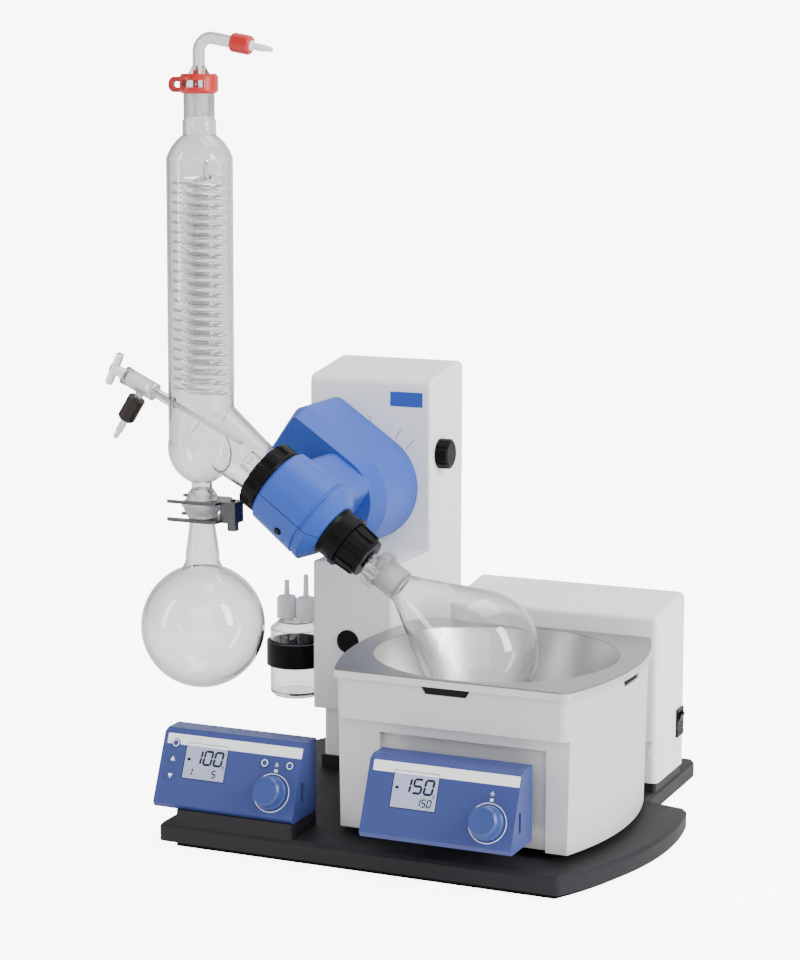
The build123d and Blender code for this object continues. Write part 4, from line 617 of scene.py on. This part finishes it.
def dress_console(owner, body, big, small):
    """White strip, figures, display line, knob ring, symbols and a black plate of painted shade in the card
    slot, of one console.
    """
    face = middle(f"{owner}_display") + panel_out * DISPLAY_STAND_OFF
    strip = sheet(*STRIP_SIZE, 1.0, *STRIP_PLACE)
    panel_print(f"{owner}_strip", [strip], face, PRINT_WHITE, body)
    figures = number(big, *BIG_PLACE, **BIG_FIGURE)
    for place, text in small:
        figures += number(text, place, SMALL_LINE, **SMALL_FIGURE)
    figures.append(sheet(*POINTER_SIZE, 0.3, *POINTER_PLACE))
    unit_x, unit_y = UNIT_PLACE
    figures += [sheet(*UNIT_SIZE, 0.3, unit_x, unit_y - UNIT_STEP * i) for i in range(2)]
    figures.append(border(*WINDOW_SIZE, WINDOW_LINE))
    panel_print(f"{owner}_figures", figures, face, LCD_DARK, body)
    circle_y, stem_y, key_y = SYMBOL_HEIGHTS
    knob_marks = [
        shifted(ring_plate(*KNOB_RING, PRINT), *KNOB_PLACE),
        shifted(ring_plate(*SYMBOL_RING, PRINT, 24), SYMBOL_X, circle_y),
        sheet(*STEM_SIZE, 0.2, SYMBOL_X, stem_y),
        sheet(*KEY_SIZE, 0.3, SYMBOL_X, key_y),
    ]
    panel_print(f"{owner}_knob_ring", knob_marks, face, PRINT_WHITE, body)
    # Painted shade: a black plate on the floor of the card slot, standing in for the shade inside the slot
    foot, end = corners(f"{owner}_console")
    slot_y, slot_z = CARD_SLOT_PLACE
    slot_middle = (end[0] - CARD_SLOT_DEPTH, foot[1] + slot_y, foot[2] + slot_z)
    slot = placed(plate(rounded_outline(*CARD_SLOT_SIZE, 1.3), 0.3), slot_middle, inward, up)
    mesh_object(f"{owner}_card_slot_shade", *slot, BLACK, body, smooth=False)


dress_console("drive", "base", "100", [(-17, "1"), (9, "5")])
dress_console("bath", "bath", "150", [(3, "150")])

# Signs on the keys: rings on the round ones, arrows on the two that step up and down
arrow = np.array([[-2.6, -1.9], [2.6, -1.9], [0, 2.8]])
circle = ring_plate(2.75, 3.55, PRINT, 32)
KEY_SIGNS = {
    "timer": circle, "mode": circle, "set": circle, "up": plate(arrow, PRINT), "down": plate(-arrow, PRINT),
}
for key, sign in KEY_SIGNS.items():
    node = f"{key}_key"
    key_top = middle(node) + panel_out * KEY_STAND_OFF
    panel_print(f"{key}_sign", [sign], key_top, PRINT_WHITE, node)

# Painted shade in the two grips under the bath's rim: dark plates on the grips' floors
GRIP_OUTLINE = np.array([[-20.6, -4.8], [20.6, -4.8], [25.6, 3.9], [-25.6, 3.9]])
GRIP_DROP = 3
FRONT_GRIP_LEFT, FRONT_GRIP_FLOOR, FRONT_SHADE_THICK = 4, 4.9, 3.2
SIDE_GRIP_FLOOR, SIDE_SHADE_THICK = 7.9, 5.6
casing_low, casing_high = corners("bath_casing")
grip_z = casing_high[2] - GRIP_DROP
front_middle = (bath_mid[0] - FRONT_GRIP_LEFT, casing_low[1] + FRONT_GRIP_FLOOR, grip_z)
side_middle = (casing_high[0] - SIDE_GRIP_FLOOR, bath_mid[1], grip_z)
front_grip = placed(plate(GRIP_OUTLINE, FRONT_SHADE_THICK), front_middle, across, up)
side_grip = placed(plate(GRIP_OUTLINE, SIDE_SHADE_THICK), side_middle, inward, up)
grip_shade_plates = mesh_object("grip_shade_plates", *joined([front_grip, side_grip]), RUBBER, "bath", smooth=False)

# Tower face: strokes and dots of the tilt scale, and a bare plate; places in x and z
STROKES = [
    ((-158.8, 398.4), (-159.2, 391.2)),
    ((-121.2, 387.7), (-129.4, 372.8)),
    ((-105.3, 375.4), (-117.2, 362.6)),
]
LONE_DOT = (-139.2, 395.3)
STROKE_WIDTH, DOT_SIZE, DOT_CORNER, DOT_HEIGHT = 0.9, 2.8, 1.3, PRINT * 1.5
BARE_PLATE_SIZE, BARE_PLATE_HEIGHT, BARE_PLATE_PLACE = (38, 16), 0.4, (-116, 418)
HEAD_CLEARANCE = 0.6  # between the head's shell and the tower's face
tower_face = (0, corners("head_upper_shell")[1][1] + HEAD_CLEARANCE, 0)


def on_tower(parts):
    """Surfaces in x and z laid on the tower's face."""
    return placed(joined(parts), tower_face, across, up)


strokes = [plate(bar(*start, *end, STROKE_WIDTH), PRINT) for start, end in STROKES]
scale_marks = mesh_object("scale_marks", *on_tower(strokes), GREY, "lift", smooth=False)
dot = plate(rounded_outline(DOT_SIZE, DOT_SIZE, DOT_CORNER), DOT_HEIGHT)
dots = [shifted(dot, *place) for place in [start for start, _ in STROKES] + [LONE_DOT]]
scale_dots = mesh_object("scale_dots", *on_tower(dots), PRINT_WHITE, "lift", smooth=False)
panel = plate(rounded_outline(*BARE_PLATE_SIZE, 0.8), BARE_PLATE_HEIGHT)
panel = shifted(panel, *BARE_PLATE_PLACE)
bare_plate = mesh_object("bare_plate", *on_tower([panel]), BLUE, "lift", smooth=False)


# Studio: pale floor, soft lights, camera at the photograph's angle
FLOOR_REACH = 6000
BEND_START, BEND_RADIUS, BEND_STEPS = 2500, 1500, 12
FLOOR_ROWS, FLOOR_COLUMNS = 8, 9
FLOOR_SEEN, FLOOR_LIT = 7.0, 0.3
SKY_SEEN, SKY_LIT = 7.5, 0.55


def brighten(tree, socket, seen, lit):
    """Strength of the white ground: more in direct sight than as light on the object."""
    sight = add(tree, "ShaderNodeLightPath")
    strength = add(tree, "ShaderNodeMath", operation="MULTIPLY_ADD")
    strength.inputs[1].default_value = seen
    strength.inputs[2].default_value = lit
    tree.links.new(sight.outputs["Is Camera Ray"], strength.inputs[0])
    tree.links.new(strength.outputs[0], socket)


def floor_surface():
    """Level floor that curves up into a backdrop behind the object."""
    bend = np.linspace(0.1, np.pi / 2, BEND_STEPS)
    flat = np.linspace(-FLOOR_REACH, BEND_START, FLOOR_ROWS)
    depth = np.concatenate([flat, BEND_START + BEND_RADIUS * np.sin(bend), [BEND_START + BEND_RADIUS]])
    height = np.concatenate([np.zeros(FLOOR_ROWS), BEND_RADIUS * (1 - np.cos(bend)), [FLOOR_REACH]])
    width = np.linspace(-FLOOR_REACH, FLOOR_REACH, FLOOR_COLUMNS)
    rows = np.broadcast_arrays(width, depth[:, None], height[:, None])
    return np.stack(rows, -1).reshape(-1, 3), grid_faces(len(depth), FLOOR_COLUMNS, wrap=False)


floor_material, floor_tree, floor_shader = new_material("pale_floor")
floor_shader.inputs["Base Color"].default_value = (0.92, 0.92, 0.92, 1)
floor_shader.inputs["Emission Color"].default_value = (1, 1, 1, 1)
floor_shader.inputs["Roughness"].default_value = 0.9
brighten(floor_tree, floor_shader.inputs["Emission Strength"], FLOOR_SEEN, FLOOR_LIT)
floor_points, floor_faces = turned_over(floor_surface())
floor_mesh = bpy.data.meshes.new("floor")
floor_mesh.from_pydata((floor_points * MM).tolist(), [], floor_faces)
floor_mesh.polygons.foreach_set("use_smooth", np.full(len(floor_mesh.polygons), True))
floor_mesh.materials.append(floor_material)
floor = bpy.data.objects.new("floor", floor_mesh)
bpy.context.scene.collection.objects.link(floor)

world = bpy.data.worlds.new("studio")
bpy.context.scene.world = world
world.use_nodes = True
sky = world.node_tree.nodes["Background"]
sky.inputs["Color"].default_value = (1, 1, 1, 1)
brighten(world.node_tree, sky.inputs["Strength"], SKY_SEEN, SKY_LIT)


def soft_light(name, place, target, width, height, power):
    """Soft box aimed at a point, in metres."""
    data = bpy.data.lights.new(name, "AREA")
    data.energy = power
    data.shape = "RECTANGLE"
    data.size = width
    data.size_y = height
    lamp = bpy.data.objects.new(name, data)
    lamp.location = place
    aim = np.asarray(target) - np.asarray(place)
    tilt = math.acos(-aim[2] / np.linalg.norm(aim))
    lamp.rotation_euler = (tilt, 0, math.atan2(aim[1], aim[0]) - math.pi / 2)
    bpy.context.scene.collection.objects.link(lamp)


soft_light("key_light", (2.8, -0.6, 1.7), (0, 0, 0.4), 0.8, 2.4, 150)
soft_light("left_strip", (-2.3, -1.7, 1.3), (0, 0, 0.4), 0.4, 2.2, 26)
soft_light("front_light", (1.0, -2.7, 1.9), (0.06, -0.06, 0.2), 2.6, 2.0, 30)
soft_light("top_light", (0.2, 0.6, 2.8), (0, 0, 0.2), 1.8, 1.8, 45)

CAMERA_PLACE = (0.9678, -2.4283, 0.792)
CAMERA_TURN = math.radians(24.265)
CAMERA_PITCH = math.radians(7.8)
CAMERA_LENS, CAMERA_SENSOR = 96.53, 36.0
CAMERA_SHIFT = (0.0527, -0.078)
camera_data = bpy.data.cameras.new("camera")
camera_data.sensor_fit = "AUTO"
camera_data.sensor_width = CAMERA_SENSOR
camera_data.lens = CAMERA_LENS
camera_data.shift_x, camera_data.shift_y = CAMERA_SHIFT
camera = bpy.data.objects.new("camera", camera_data)
camera.location = CAMERA_PLACE
camera.rotation_euler = (math.pi / 2 - CAMERA_PITCH, 0, CAMERA_TURN)
bpy.context.scene.collection.objects.link(camera)
bpy.context.scene.camera = camera
